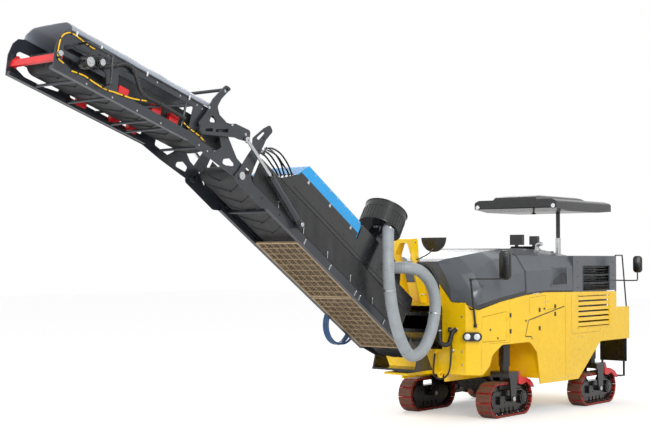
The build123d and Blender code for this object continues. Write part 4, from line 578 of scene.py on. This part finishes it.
# Cooler box: slot rims, blades and bolts
box_side = side_plane(MACHINE, WALL_HALF)
slots, blades, box_bolts = Shape(), Shape(), Shape()
for z0, z1 in ((2270, 2411), (2130, 2255), (1995, 2115)):
    for k in range(3):
        z = z0 + (k + 0.5) * (z1 - z0) / 3
        blades.prism(FACE, [(1093, z - 16), (1097, z - 16), (1118, z + 12), (1114, z + 12)], -1729, -755)
    slots.box(box_side, -1745, -739, z1, z1 + 10, -3, 5)
    slots.box(box_side, -1745, -739, z0 - 10, z0, -3, 5)
    slots.box(box_side, -1745, -1729, z0, z1, -3, 5)
    slots.box(box_side, -755, -739, z0, z1, -3, 5)
slots.finish("slot_rims", DARK, "chassis", 2.0)
blades.finish("slot_blades", BLACK, "chassis")
spots = [(x, z) for x in (-560, -1870) for z in (2040, 2240, 2480)] + [(-1240, 2520)]
box_bolts.bolts(box_side, spots, 0, 9, 6)
box_bolts.finish("box_bolts", DARK, "chassis")


# Headlights on the front corners
BEZEL = ((60, 44), (60, 52), (54, 55), (50, 46), (58, 44))
LENS = ((51, 46), (51, 50), (44, 57), (32, 62), (16, 65), (4, 66))
for side, word in SIDES:
    pod = (moved(MACHINE, 2396.5, side * 892.5, 1335) @ Matrix.Rotation(side * radians(30), 4, "Z")
           @ FRONT)
    lens, bezel = Shape(), Shape()
    for u in (-74, 74):
        bezel.turned(pod, u, 0, BEZEL, 32)
        lens.turned(pod, u, 0, LENS, 32)
    bezel.finish("lamp_bezels_" + word, BLACK, "chassis")
    lens.finish("lamp_lenses_" + word, LAMP, "chassis", rest=1.2)


# Roof lamps, horn, exhaust and screens
for x, out, word in ((-375, 1, "front"), (-2410, -1, "rear")):
    rims, glass = Shape(), Shape()
    for y in (-765, 765):
        rims.disc(FACE, y, 3455, 50, x - 12 * out, x + 8 * out, 28, 4)
        glass.disc(FACE, y, 3455, 39, x + 6 * out, x + 14 * out, 28, 5)
    rims.finish("roof_lamp_rims_" + word, BLACK, "roof")
    glass.finish("roof_lamps_" + word, LAMP, "roof")
HORN = ((18, 3396), (18, 3350), (34, 3336), (46, 3318), (40, 3318), (28, 3334), (10, 3340))
horn = Shape()
horn.turned(moved(MACHINE, -560, 275), 0, 0, HORN, 24)
horn.finish("roof_horn", BLACK, "roof")
EXHAUST = ((-180, 560, 2670), (-180, 560, 2730), (-176, 572, 2770), (-168, 606, 2788), (-160, 660, 2792))
pipe = Shape()
pipe.tube(smooth_path(sided(EXHAUST), 6), 36, 20)
pipe.disc(moved(MACHINE, -180, 560), 0, 0, 58, 2688, 2704, 24, 4)
pipe.finish("exhaust", STEEL, "hood")
glass, hoods = Shape(), Shape()
glass.box(FACE, -230, -10, 2800, 2950, -664, -658)
glass.box(FACE, 182, 308, 2802, 2918, -684, -678)
glass.finish("console_screens", LAMP, "chassis", 2.0)
for y0, y1, z0, z1, x in ((-246, 6, 2782, 2966, -625), (164, 326, 2784, 2936, -600)):
    mid = (y0 + y1) / 2
    hoods.box(FACE, y0, y1, z1 - 8, z1, x - 70, x + 8)
    hoods.box(FACE, y0, y1, z0, z0 + 8, x - 70, x + 8)
    hoods.box(FACE, y0, y0 + 8, z0, z1, x - 70, x + 8)
    hoods.box(FACE, y1 - 8, y1, z0, z1, x - 70, x + 8)
    hoods.box(FACE, mid - 30, mid + 30, z0 - 30, z0 + 6, x - 30, x)
hoods.finish("screen_hoods", PLASTIC, "chassis", 2.0)


# Mirrors: rounded housings with glass on bent arms
CUSHION = ((14, 0), (4, 5), (0, 16))


def rounded(shape, place, u0, u1, v0, v1, w0, w1, radius):
    """A cushion-edged plate with rounded corners."""
    rings = []
    edges = [(inset, w0 + depth) for inset, depth in CUSHION]
    edges += [(inset, w1 - depth) for inset, depth in reversed(CUSHION)]
    for inset, w in edges:
        ring = []
        for cu, cv, start in ((u1, v1, 0), (u0, v1, 1), (u0, v0, 2), (u1, v0, 3)):
            mid_u = cu - copysign(radius, cu - (u0 + u1) / 2)
            mid_v = cv - copysign(radius, cv - (v0 + v1) / 2)
            for k in range(7):
                turn = (start + k / 6) * pi / 2
                ring.append(place @ Vector((mid_u + (radius - inset) * cos(turn),
                                            mid_v + (radius - inset) * sin(turn), w)))
        rings.append(ring)
    shape.loft(rings)


mirror_shells, mirror_glass, mirror_arms = Shape(), Shape(), Shape()
MIRRORS = (
    # shape, middle and half width in y, lowest and highest z, x from and to, corner radius
    (mirror_shells, 1270, 100, 2210, 2670, 2002, 2070, 70),
    (mirror_glass, 1270, 84, 2226, 2654, 1994, 2030, 58),
    (mirror_shells, 1485, 85, 2290, 2590, -2158, -2104, 60),
    (mirror_glass, 1485, 71, 2304, 2576, -2166, -2130, 50),
)
FRONT_STEM = ((2382, 938, 1500), (2388, 938, 1560), (2520, 950, 2190), (2528, 951, 2216))
FRONT_ARM = ((2525, 950, 2205), (2518, 965, 2224), (2480, 1010, 2228), (2290, 1120, 2228), (2052, 1262, 2228))
REAR_ARM = ((-2053, 1103, 2150), (-2066, 1160, 2150), (-2120, 1440, 2150), (-2130, 1478, 2172),
            (-2130, 1480, 2300))
MID_ARM = ((2860, 178, 2530), (2850, 205, 2536), (2720, 289, 2610), (2645, 335, 2690), (2640, 339, 2730))
for side in (1, -1):
    for shape, y, half, z0, z1, x0, x1, radius in MIRRORS:
        rounded(shape, FACE, side * y - half, side * y + half, z0, z1, x0, x1, radius)
    mirror_arms.tube(sided(FRONT_STEM, side), 16, 14)
    mirror_arms.tube(smooth_path(sided(FRONT_ARM, side), 6), 14, 12)
    mirror_arms.disc(moved(MACHINE, 2382, side * 938), 0, 0, 26, 1478, 1530, 16, 4)
    mirror_arms.disc(moved(MACHINE, 2526, side * 951), 0, 0, 24, 2192, 2238, 16, 4)
    mirror_arms.tube(smooth_path(sided(REAR_ARM, side), 6), 12, 12)
ROUND_Y, ROUND_Z, ROUND_RADIUS = 339, 2868, 226
for shape, scale, drop, x0, x1 in ((mirror_shells, 1.0, 0.0, 2612, 2650),
                                   (mirror_glass, 0.93, 11.2, 2604, 2614)):
    half_round = [(u, v - drop) for u, v in circle(40, -ROUND_RADIUS * scale, ROUND_Y, ROUND_Z)]
    shape.prism(FACE, half_round[20::-1], x0, x1)
mirror_arms.tube(smooth_path(sided(MID_ARM), 6), 12, 12)
shown = mirror_shells.finish("mirror_shells", PLASTIC, "chassis", 2.0)
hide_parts("mirrors")
mirror_glass.finish("mirror_glass", STEEL, "chassis")
mirror_arms.finish("mirror_arms", BLACK, "chassis")

# Front plate: clamp, plug and bolts
PLATE_X = 2450
front_bits, mast_bolts = Shape(), Shape()
front_bits.disc(FACE, 578, 1112, 30, PLATE_X, 2482, 24, 5)
front_bits.disc(FACE, 578, 1112, 18, 2482, 2500, 6, 2)
front_bits.box(FACE, 500, 566, 1400, 1470, PLATE_X, 2478)
front_bits.disc(FACE, 520, 1436, 15, 2478, 2500, 16, 3)
front_bits.disc(FACE, 546, 1436, 15, 2478, 2506, 16, 3)
front_bits.bolts(FACE, [(y, z) for y in (-740, 740) for z in (900, 1100, 1640)], PLATE_X, 12, 9)
front_bits.finish("front_fittings", STEEL, "chassis", 1.5)
MAST_BOLTS = ((2800, 2500), (2960, 2500), (2900, 2790), (2640, 1980), (2720, 1980))
for side in (1, -1):
    mast_bolts.bolts(side_plane(MACHINE, side * 176), MAST_BOLTS, 0, 13, side * 9)
mast_bolts.finish("mast_bolts", STEEL, "chassis")


# Belts: chevron cleats along the loops
CLEAT_PITCH = 250
CLEAT_SWEEP = 170
CLEAT_SIDES = ((-13, -1), (-7, 13), (7, 13), (13, -1))


def chevrons(name, place, s0, s1, n, radius, body):
    """Cleats in a V around a belt whose drums are centred at s0 and s1."""
    cleats = Shape()
    length = 2 * (s1 - s0) + 2 * pi * radius
    count = round(length / CLEAT_PITCH)
    for k in range(count):
        for side in (1, -1):
            rings = []
            for j in range(9):
                ring = []
                for along, height in CLEAT_SIDES:
                    travel = k * length / count - CLEAT_SWEEP * (j / 8) ** 1.15 + along
                    s, turn = round_loop(travel, (s1 - s0) / 2, radius)
                    reach = radius + height
                    ring.append(place @ Vector(((s0 + s1) / 2 + s + reach * sin(turn),
                                                side * (12 + 283 * j / 8), n + reach * cos(turn))))
                rings.append(ring)
            cleats.loft(rings)
    cleats.finish(name, BELT, body)


chevrons("lower_cleats", LOWM, -327, 4298, 129, 100, LOWER)
chevrons("upper_cleats", UPPM, 410, 2902, 340, 130, UPPER)


# Guard panels: fine crossing wires between the frame's bars
WIRE_LEAN = radians(52)
WIRE_WIDTH = 2.4
WIRE_PITCH = 44
SHORTEST_WIRE = 8
FRAME_Y = 450


def crossing_wires(shape, s0, s1, half):
    """Wires at a lean across a rectangle, both ways."""
    rise = tan(WIRE_LEAN)
    reach = 2 * half / rise
    across = WIRE_WIDTH / sin(WIRE_LEAN)
    for way in (1, -1):
        s = s0 - reach
        while s < s1:
            near, far = max(s, s0), min(s + reach, s1)
            near_y = way * ((near - s) * rise - half)
            far_y = way * (half - (s + reach - far) * rise)
            if far - near > SHORTEST_WIRE:
                corners = [(near, near_y), (near + across, near_y), (far, far_y), (far - across, far_y)]
                shape.prism(LOWM, corners, -45, -41)
            s += WIRE_PITCH


wires, latches = Shape(), Shape()
for s0, s1 in ((84, 1466), (1534, 2906)):
    crossing_wires(wires, s0, s1, 364)
wires.finish("guard_wires", BRONZE, LOWER)
for side in (1, -1):
    place = side_plane(LOWM, side * FRAME_Y)
    for s in (80, 760, 1440, 1560, 2240, 2880):
        latches.box(place, s - 9, s + 9, -42, 22, 0, side * 12)
        latches.disc(place, s, 30, 11, 0, side * 20, 12, 3)
    for s in (520, 1130, 1740, 2350, 2960, 3570):
        latches.prism(place, [(s, 74), (s + 14, 74), (s + 52, 150), (s + 38, 150)], 0, side * 10)
        latches.disc(place, s + 45, 152, 10, 0, side * 14, 12, 2)
latches.finish("side_clamps", STEEL, LOWER)


# Cloths: thin sheets from a grid of points
def cloth(name, rows, paint, body, thick):
    mesh = bpy.data.meshes.new(name)
    wide = len(rows[0])
    faces = [(i * wide + j, i * wide + j + 1, (i + 1) * wide + j + 1, (i + 1) * wide + j)
             for i in range(len(rows) - 1) for j in range(wide - 1)]
    mesh.from_pydata([tuple(p) for row in rows for p in row], [], faces)
    mesh.polygons.foreach_set("use_smooth", [True] * len(mesh.polygons))
    thing = hold(name, mesh, paint, body)
    shell = thing.modifiers.new("thickness", "SOLIDIFY")
    shell.thickness = thick / 1000
    shell.offset = 0.0
    return thing


def fold_height(s, n, seed):
    """Soft creases that hang between a cloth's fixings, from -1 to 1."""
    return (0.45 * sin(s / 97.0 + 1.7 * sin(n / 130.0 + seed))
            + 0.3 * sin(s / 41.0 - n / 75.0 + 2.1 * seed)
            + 0.25 * sin((s + n) / 170.0 + 3.3 * seed))


CLOTH_START, CLOTH_END = 320, 4195
CLOTH_FOOT, CLOTH_TOP = 71, 440
CLOTH_Y = 445
CLOTH_ROWS, CLOTH_COLUMNS = 16, 180
for side, word in SIDES:
    rows = []
    for i in range(CLOTH_ROWS + 1):
        n = CLOTH_FOOT + (CLOTH_TOP - CLOTH_FOOT) * i / CLOTH_ROWS
        end = CLOTH_END - max(0.0, 55.0 * (131.0 - n) / 60.0)
        held = sin(pi * i / CLOTH_ROWS) ** 0.6
        row = []
        for j in range(CLOTH_COLUMNS + 1):
            s = CLOTH_START + (end - CLOTH_START) * j / CLOTH_COLUMNS
            row.append(low(s, side * (CLOTH_Y + held * (3 + 4.5 * fold_height(s, n, side))), n))
        rows.append(row)
    hung = cloth("side_cloth_" + word, rows, CLOTH, LOWER, 2.0)
    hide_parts("side_cloths")

TARP_HALF = 428
TARP_START, TARP_END = 640, 3072
TARP_COLUMNS = 122
TARP_SAG = 9
half_arch = [(TARP_HALF, 612.3), (TARP_HALF, 640), (414, 668), (380, 694), (330, 727), (280, 740), (140, 742)]
arch = [(-y, n) for y, n in half_arch] + [(0, 742)] + half_arch[::-1]
arch = even_path(smooth_path([Vector((0, y / 1000, n / 1000)) for y, n in arch], 6), 0.02)
rows = []
for i in range(TARP_COLUMNS + 1):
    s = TARP_START + (TARP_END - TARP_START) * i / TARP_COLUMNS
    sag = TARP_SAG * sin(5 * pi * i / TARP_COLUMNS) ** 2
    row = []
    for j, p in enumerate(arch):
        y, n = p.y * 1000, p.z * 1000
        held = sin(pi * j / (len(arch) - 1)) ** 0.5
        pinch = (3.5 * fold_height(s * 0.9 + abs(y) * 0.6, n, 1.0)
                 + 2.5 * sin(s / 23.0 + y / 60.0) * (1 - held))
        drop = held * sag + pinch * (0.35 + 0.65 * held)
        tuck = copysign(min(4.0, abs(pinch)), y) * (1 - held)
        row.append(upp(s, y * (1 - 0.004 * held) - tuck, n - drop))
    rows.append(row)
tarp = cloth("tarpaulin", rows, TARP, UPPER, 2.4)
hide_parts("upper_tarp")
toggles, straps = Shape(), Shape()
for side in (1, -1):
    place = side_plane(UPPM, side * TARP_HALF)
    for s in (700, 1153, 1883, 2625, 3000):
        outline = [(s + u, v) for u, v in ((-8, 590), (8, 590), (13, 616), (6, 640), (-6, 640), (-13, 616))]
        toggles.prism(place, outline, side * 3, side * 16)
        toggles.disc(place, s, 586, 11, 0, side * 20, 14, 3)
    straps.box(place, 660, 3050, 600, 609, 0, side * 7)
    for s in range(700, 3050, 117):
        straps.disc(place, s, 604, 9, side * 6, side * 12, 10, 2)
toggles.finish("tarp_toggles", WHITE_RUBBER, UPPER, 2.0)
straps.finish("tarp_rail", BLACK, UPPER)


# Nose: cables and a ribbed hose clipped to the side frame, motors
def clipped(name, spots, y, radius, paint, rib=0.0):
    """A line that lies clipped against the upper frame through (s, n) spots."""
    path = smooth_path([UPPM @ Vector((s, y, n)) for s, n in spots], 8)
    line, clips = Shape(), Shape()
    if rib:
        path = even_path(path, 0.006)
        line.ribbed_tube(path, radius, rib, 14)
    else:
        line.tube(path, radius, 10)
    line.finish(name, paint, UPPER)
    for i in range(len(path) // 8, len(path), max(len(path) // 5, 1)):
        ahead = (path[min(i + 1, len(path) - 1)] - path[i - 1]).normalized()
        clips.tube([path[i] - ahead * 0.011, path[i] + ahead * 0.011], radius + 4, 12)
    clips.finish(name + "_clips", BLACK, UPPER)


clipped("nose_cable", [(3080, 217), (3161, 241), (3192, 336), (3190, 481), (3130, 562), (3036, 586),
                       (2861, 561), (2750, 550), (2706, 558), (2690, 592)], 437, 8, CABLE)
clipped("frame_cable", [(2949, 179), (2863, 191), (2760, 200), (2649, 187), (2444, 175), (2294, 196),
                        (2142, 214), (1990, 240), (1808, 290)], 440, 9, CABLE)
clipped("fold_cable", [(1155, 274), (1037, 242), (886, 223), (745, 184)], 438, 8, CABLE)
clipped("nose_hose", [(2560, 400), (2500, 428), (2372, 500), (2267, 560), (2153, 566), (2038, 475),
                      (1951, 372), (1856, 332), (1775, 330), (1607, 336), (1399, 331), (1166, 321)],
        456, 25, HOSE, 2.2)
BIG_MOTOR = (2812, 340)
SMALL_MOTOR = (2622, 420)
upper_side = UPPM @ SIDE
motors, lines = Shape(), Shape()
motors.disc(upper_side, *BIG_MOTOR, 56, 548, 562, 28, 5)
motors.disc(upper_side, *BIG_MOTOR, 24, 562, 574, 20, 4)
motors.bolts(upper_side, circle(6, 44, *BIG_MOTOR, step=1.047), 562, 6, 5)
motors.disc(upper_side, *SMALL_MOTOR, 40, 518, 530, 24, 4)
motors.bolts(upper_side, circle(4, 30, *SMALL_MOTOR, step=1.57), 530, 6, 5)
motors.disc(upper_side, 3160, 300, 34, 428, 470, 24, 6)
motors.disc(upper_side, 3160, 300, 34, -428, -470, 24, 6)
motors.finish("motor_caps", STEEL, UPPER)
for k, (s0, n0, n1) in enumerate(((2812, 400, 415), (2780, 400, 395), (2640, 460, 430))):
    bent = [(s0, 500, n0 - 30), (s0 - 10, 500, n0 + 14), (s0 - 60, 485, n1 + 40),
            (2620 - 8 * k, 470, n1 + 10), (2560, 456, 402 + 6 * k)]
    lines.tube(smooth_path([upp(*p) for p in bent], 6), 11, 10)
lines.disc(upper_side, *BIG_MOTOR, 82, 470, 500, 26, 4)
lines.disc(upper_side, *SMALL_MOTOR, 61, 470, 496, 24, 4)
lines.finish("motor_lines", BLACK, UPPER)
EAR = [(3090, 225), (3172, 225), (3172, 300), (3120, 380), (3085, 380)]
SIDE_BOLTS = [(660, 90), (820, 110), (900, 560), (1000, 570), (1300, 570), (1700, 575), (2100, 575),
              (2500, 575), (1500, 130), (1900, 130), (2300, 130), (2700, 130)]
LINK_BOLTS = [(885, 290), (389, 548), (120, 520), (640, 905), (840, 600)]
scraper, brace_bolts = Shape(), Shape()
for side in (1, -1):
    scraper.prism(upper_side, EAR, side * 396, side * 408)
    scraper.bolts(upper_side, [(3105, 350), (3105, 250)], side * 396, 10, -side * 8)
    brace_bolts.bolts(side_plane(UPPM, side * TARP_HALF), SIDE_BOLTS, 0, 9, side * 7)
    brace_bolts.bolts(side_plane(UPPM, side * 484), LINK_BOLTS, 0, 15, side * 9)
scraper.finish("scraper_ears", RED, UPPER, 1.5)
brace_bolts.finish("frame_bolts", STEEL, UPPER)


# Fold: bright rods, glands and pin caps
FOLD_Y = 518
TOWER_BOLTS = [(4300, 690), (4290, 500), (4290, 330), (4400, -30), (4180, 200), (3900, 10), (3500, 20)]
lower_side = LOWM @ SIDE
rods, glands = Shape(), Shape()
for side in (1, -1):
    y = side * FOLD_Y
    rods.tube([low(3990, y, 299), low(4590, y, 423)], 23.5, 20)
    rods.disc(lower_side, 4600, 425, 40, side * 500, side * 536, 24, 4)
    rods.disc(lower_side, 3144, 100, 30, side * 558, side * 566, 20, 3)
    glands.tube([low(3950, y, 291), low(3985, y, 298)], 48, 24)
    glands.tube([low(3180, y, 107), low(3225, y, 118)], 48, 24)
    glands.bolts(side_plane(LOWM, side * FRAME_Y), TOWER_BOLTS, 0, 12, side * 9)
rods.finish("fold_rods", STEEL, LOWER)
glands.finish("fold_glands", BLACK, LOWER)


# Covers: bolts, latches and bands; the fan's rims
blue_bits, band = Shape(), Shape()
for side in (1, -1):
    cover = side_plane(LOWM, side * CLOTH_Y)
    box = side_plane(LOWM, side * FRAME_Y)
    blue_bits.bolts(cover, [(2030 + 190 * k, 905) for k in range(7)], 0, 10, side * 7)
    for s in (2150, 2700, 3250):
        blue_bits.box(cover, s - 20, s + 20, 700, 742, 0, side * 14)
        blue_bits.disc(cover, s, 750, 9, 0, side * 18, 12, 2)
    band.prism(cover, [(1964, 681), (3478, 681), (3440, 760), (1964, 760)], -side, side * 5)
    for s in (860, 1240, 1620):
        band.box(box, s - 12, s + 12, 690, 905, 0, side * 7)
    band.box(box, 320, 3460, 500, 512, 0, side * 6)
    band.bolts(box, [(360 + 310 * k, 560) for k in range(10)], 0, 9, side * 6)
for s in (2050, 2500, 2950, 3320):
    for y in (-330, 0, 330):
        blue_bits.disc(moved(LOWM, s, y), 0, 0, 14, 929, 940, 14, 3)
blue_bits.finish("cover_fixings", STEEL, LOWER, 1.0)
band.finish("cover_bands", BLACK, LOWER, 1.0)
FAN_RIM = 321
fan = Shape()
fan_place = moved(LOWM, 1450, 340)
for n, thick in ((1176, 9), (1504, 10), (1400, 5)):
    fan.tube([fan_place @ Vector((*spot, n)) for spot in circle(48, FAN_RIM)], thick, 8, closed=True)
for k in range(36):
    fan.box(fan_place @ Matrix.Rotation(k * pi / 18, 4, "Z") @ SIDE, 318, 326, 1196, 1390, -5, 5)
fan.disc(fan_place, 0, 0, 110, 1509, 1535, 30, 8)
fan.disc(fan_place, 0, 0, 60, 1535, 1560, 24, 6)
for k in range(8):
    fan.box(fan_place @ Matrix.Rotation(k * pi / 4, 4, "Z"), 100, 312, -6, 6, 1509, 1522)
fan.bolts(fan_place, circle(12, 290, start=0.2), 1510, 10, 8)
fan.finish("fan_rims", BLACK, LOWER, 1.0)
hydraulics, valves = Shape(), Shape()
for k, y in enumerate((90, 150, 215, 290, 350)):
    top = 730 + 26 * (k % 3)
    bent = [(3490, y, 676), (3540, y, 712), (3680, y + 10, top), (3860, y + 20, top + 16),
            (4040, y + 40, top - 40), (4150, 400, 560 + 20 * k), (4186, 436, 500 + 30 * k)]
    hydraulics.tube(smooth_path([low(*p) for p in bent], 5), 13, 10)
    hydraulics.disc(moved(LOWM, 3486, y), 0, 0, 22, 680, 706, 12, 4)
hydraulics.finish("fold_lines", BLACK, LOWER)
valves.box(LOWM, 3300, 3470, 60, 400, 681, 700)
valves.box(LOWM, 3330, 3440, 90, 370, 700, 770)
for y in (130, 200, 270, 340):
    valves.disc(moved(LOWM, 3385, y), 0, 0, 22, 770, 815, 16, 5)
valves.finish("valve_block", STEEL, LOWER, 3.0)


# Suction duct: ribbed tube with collars
DUCT_POINTS = (
    (4300, 690, 2377), (4249, 700, 1941), (4125, 700, 1574), (3950, 700, 1275), (3747, 700, 1115),
    (3464, 700, 1176), (3227, 700, 1465), (3121, 700, 1840), (3229, 700, 2145), (3500, 700, 2345),
    (3740, 650, 2400),
)
route = ([low(1470, 545, 1169), low(1470, 545, 1100)] + sided(DUCT_POINTS)
         + [low(975, 500, 803), low(975, 451, 803)])
route = even_path(smooth_path(route, 14), 0.009)
duct, collars = Shape(), Shape()
duct.ribbed_tube(route, 87.5, 2.2, 30)
shown = duct.finish("ribbed_duct", DUCT, LOWER, rest=1.4)
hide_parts("suction_duct")
for i in (1, len(route) - 5, len(route) * 2 // 9, len(route) * 9 // 20, len(route) * 7 // 10):
    collars.tube(route[i:i + 3], 93, 30)
collars.finish("duct_clamps", STEEL, LOWER)

# Sleeved hose bundle in front of the hood
BUNDLE = (
    (2450.3, 630, 1440), (2532, 617, 1395), (2560, 600, 1290), (2579, 584, 1230), (2625, 545, 1205),
    (2671, 506, 1230), (2690, 490, 1290), (2702, 478, 1560), (2706, 470, 1850), (2716, 440, 2200),
    (2775, 350, 2400), (2840, 240, 2448), (2860, 176.3, 2450),
)
route = even_path(smooth_path(sided(BUNDLE), 12), 0.006)
sleeve, cuffs = Shape(), Shape()
sleeve.ribbed_tube(route, 36, 1.8, 20)
shown = sleeve.finish("bundle_sleeve", HOSE, "chassis", rest=1.4)
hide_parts("hose_bundle")
for i in (0, len(route) // 3, len(route) * 2 // 3, len(route) - 4):
    cuffs.tube(route[i:i + 4], 41, 20)
cuffs.finish("bundle_cuffs", STEEL, "chassis")


# Hoses that hang free
def nurbs_hose(name, points, radius, paint, body):
    """A hose whose points are the control points of one smooth spline."""
    curve = bpy.data.curves.new(name, "CURVE")
    curve.dimensions = "3D"
    spline = curve.splines.new("NURBS")
    spline.points.add(len(points) - 1)
    for control, p in zip(spline.points, points):
        control.co = (*at(*p), 1.0)
    spline.order_u = 3
    spline.use_endpoint_u = True
    spline.resolution_u = 8
    curve.bevel_depth = radius / 1000
    curve.bevel_resolution = 5
    curve.use_fill_caps = True
    return hold(name, curve, paint, body)


FRONT_HOSE = [
    (2480, 560, 1300), (2490, 567, 1130), (2512, 570, 940), (2548, 567, 788), (2568, 525, 715),
    (2578, 452, 673), (2578, 368, 673), (2565, 295, 715), (2530, 253, 788), (2500, 250, 930),
    (2480, 250, 1050),
]
hanging = nurbs_hose("front_loop_hose", FRONT_HOSE, 14, HOSE, "chassis")
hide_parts("front_hose")

COIL_X = 3925
COIL_Y = -498
COIL_Z = 1545
COIL_RADIUS = 297
COIL_PITCH = 37
COIL_TURNS = 3
TURN_POINTS = 16
STEADY_SHARE = 0.6
BLUE_LEAD = [(3587, COIL_Y, 1396), (3645, COIL_Y, 1327), (3724, COIL_Y, 1274), (3815, COIL_Y, 1246),
             (COIL_X, COIL_Y, COIL_Z - COIL_RADIUS)]
control_radius = COIL_RADIUS / cos(pi / TURN_POINTS)
coil = []
for k in range(1, COIL_TURNS * TURN_POINTS):
    turns, part_turn = divmod(k / TURN_POINTS, 1.0)
    shift = turns + max(0.0, (part_turn - STEADY_SHARE) / (1 - STEADY_SHARE))
    turn = 2 * pi * k / TURN_POINTS
    coil.append((COIL_X + control_radius * sin(turn), COIL_Y - COIL_PITCH * min(shift, COIL_TURNS - 1.0),
                 COIL_Z - control_radius * cos(turn)))
coiled = nurbs_hose("blue_water_hose", BLUE_LEAD + coil, 18, BLUE_HOSE, LOWER)
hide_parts("blue_hose", "blue_hose_coil")
last = Vector(coil[-1])
run = (last - Vector(coil[-2])).normalized()
fitting = Shape()
for near, far, radius, sides in ((-30, 28, 19, 18), (28, 46, 24, 6), (46, 78, [15, 13], 16)):
    fitting.tube([at(*(last + run * near)), at(*(last + run * far))], radius, sides)
fitting_piece = fitting.finish("hose_fitting", STEEL, LOWER)


# Camera
CAMERA_PLACE = (19049, 11590, 2536)
CAMERA_YAW = radians(219.31)
CAMERA_PITCH = radians(1.75)
camera = linked("camera", bpy.data.cameras.new("camera"))
camera.data.lens = 70.43
camera.data.sensor_width = 36
camera.data.clip_end = 200
camera.location = at(*CAMERA_PLACE)
level = cos(CAMERA_PITCH)
heading = Vector((cos(CAMERA_YAW) * level, sin(CAMERA_YAW) * level, sin(CAMERA_PITCH)))
camera.rotation_euler = heading.to_track_quat("-Z", "Y").to_euler()
bpy.context.scene.camera = camera


# Studio: pale floor, white surroundings, soft lamps
def soft_lamp(name, place, target, size, watts):
    lamp = bpy.data.lights.new(name, "AREA")
    lamp.shape = "DISK"
    lamp.size = size
    lamp.energy = watts
    thing = linked(name, lamp)
    thing.location = place
    thing.rotation_euler = (Vector(target) - Vector(place)).to_track_quat("-Z", "Y").to_euler()


soft_lamp("key_lamp", (8, 14, 11), (0, 0, 1.8), 8, 1500)
soft_lamp("front_lamp", (15, -3, 8), (0, 0, 2), 7, 700)
soft_lamp("rear_lamp", (-11, -9, 9), (-2, 0, 1.5), 8, 600)

WHITE = (1, 1, 1, 1)
SURROUND_STRENGTH = 0.72
FLOOR_GREY = (0.82, 0.82, 0.82, 1)
FLOOR_GLOW = 0.35
FLOOR_HALF = 60
world = bpy.data.worlds.new("studio")
world.use_nodes = True
bpy.context.scene.world = world
tree = world.node_tree
seen = add_node(tree, "LightPath").outputs
surround = fill(tree.nodes["Background"], Color=WHITE, Strength=SURROUND_STRENGTH)
backdrop = add_node(tree, "Background", Color=WHITE, Strength=1.0)
any_view = add_node(tree, "Math", (seen["Is Camera Ray"], seen["Is Glossy Ray"]))
any_view.operation = "MAXIMUM"
choose = add_node(tree, "MixShader", (any_view.outputs["Value"], surround.outputs["Background"],
                                      backdrop.outputs["Background"]))
fill(tree.nodes["World Output"], Surface=choose.outputs["Shader"])

corners = [(x * FLOOR_HALF, y * FLOOR_HALF, 0.0) for x, y in ((-1, -1), (1, -1), (1, 1), (-1, 1))]
floor_mesh = bpy.data.meshes.new("floor")
floor_mesh.from_pydata(corners, [], [(0, 1, 2, 3)])
floor = linked("floor", floor_mesh)
floor_paint = bpy.data.materials.new("pale_floor")
floor_paint.use_nodes = True
tree = floor_paint.node_tree
matte = fill(tree.nodes["Principled BSDF"], Base_Color=FLOOR_GREY, Roughness=0.9)
brightness = add_node(tree, "Math", (add_node(tree, "LightPath").outputs["Is Camera Ray"], FLOOR_GLOW))
brightness.operation = "MULTIPLY"
glow = add_node(tree, "Emission", Strength=brightness.outputs["Value"])
both = add_node(tree, "AddShader", (matte.outputs["BSDF"], glow.outputs["Emission"]))
fill(tree.nodes["Material Output"], Surface=both.outputs["Shader"])
floor.data.materials.append(floor_paint)

bpy.context.scene.view_settings.view_transform = "Standard"
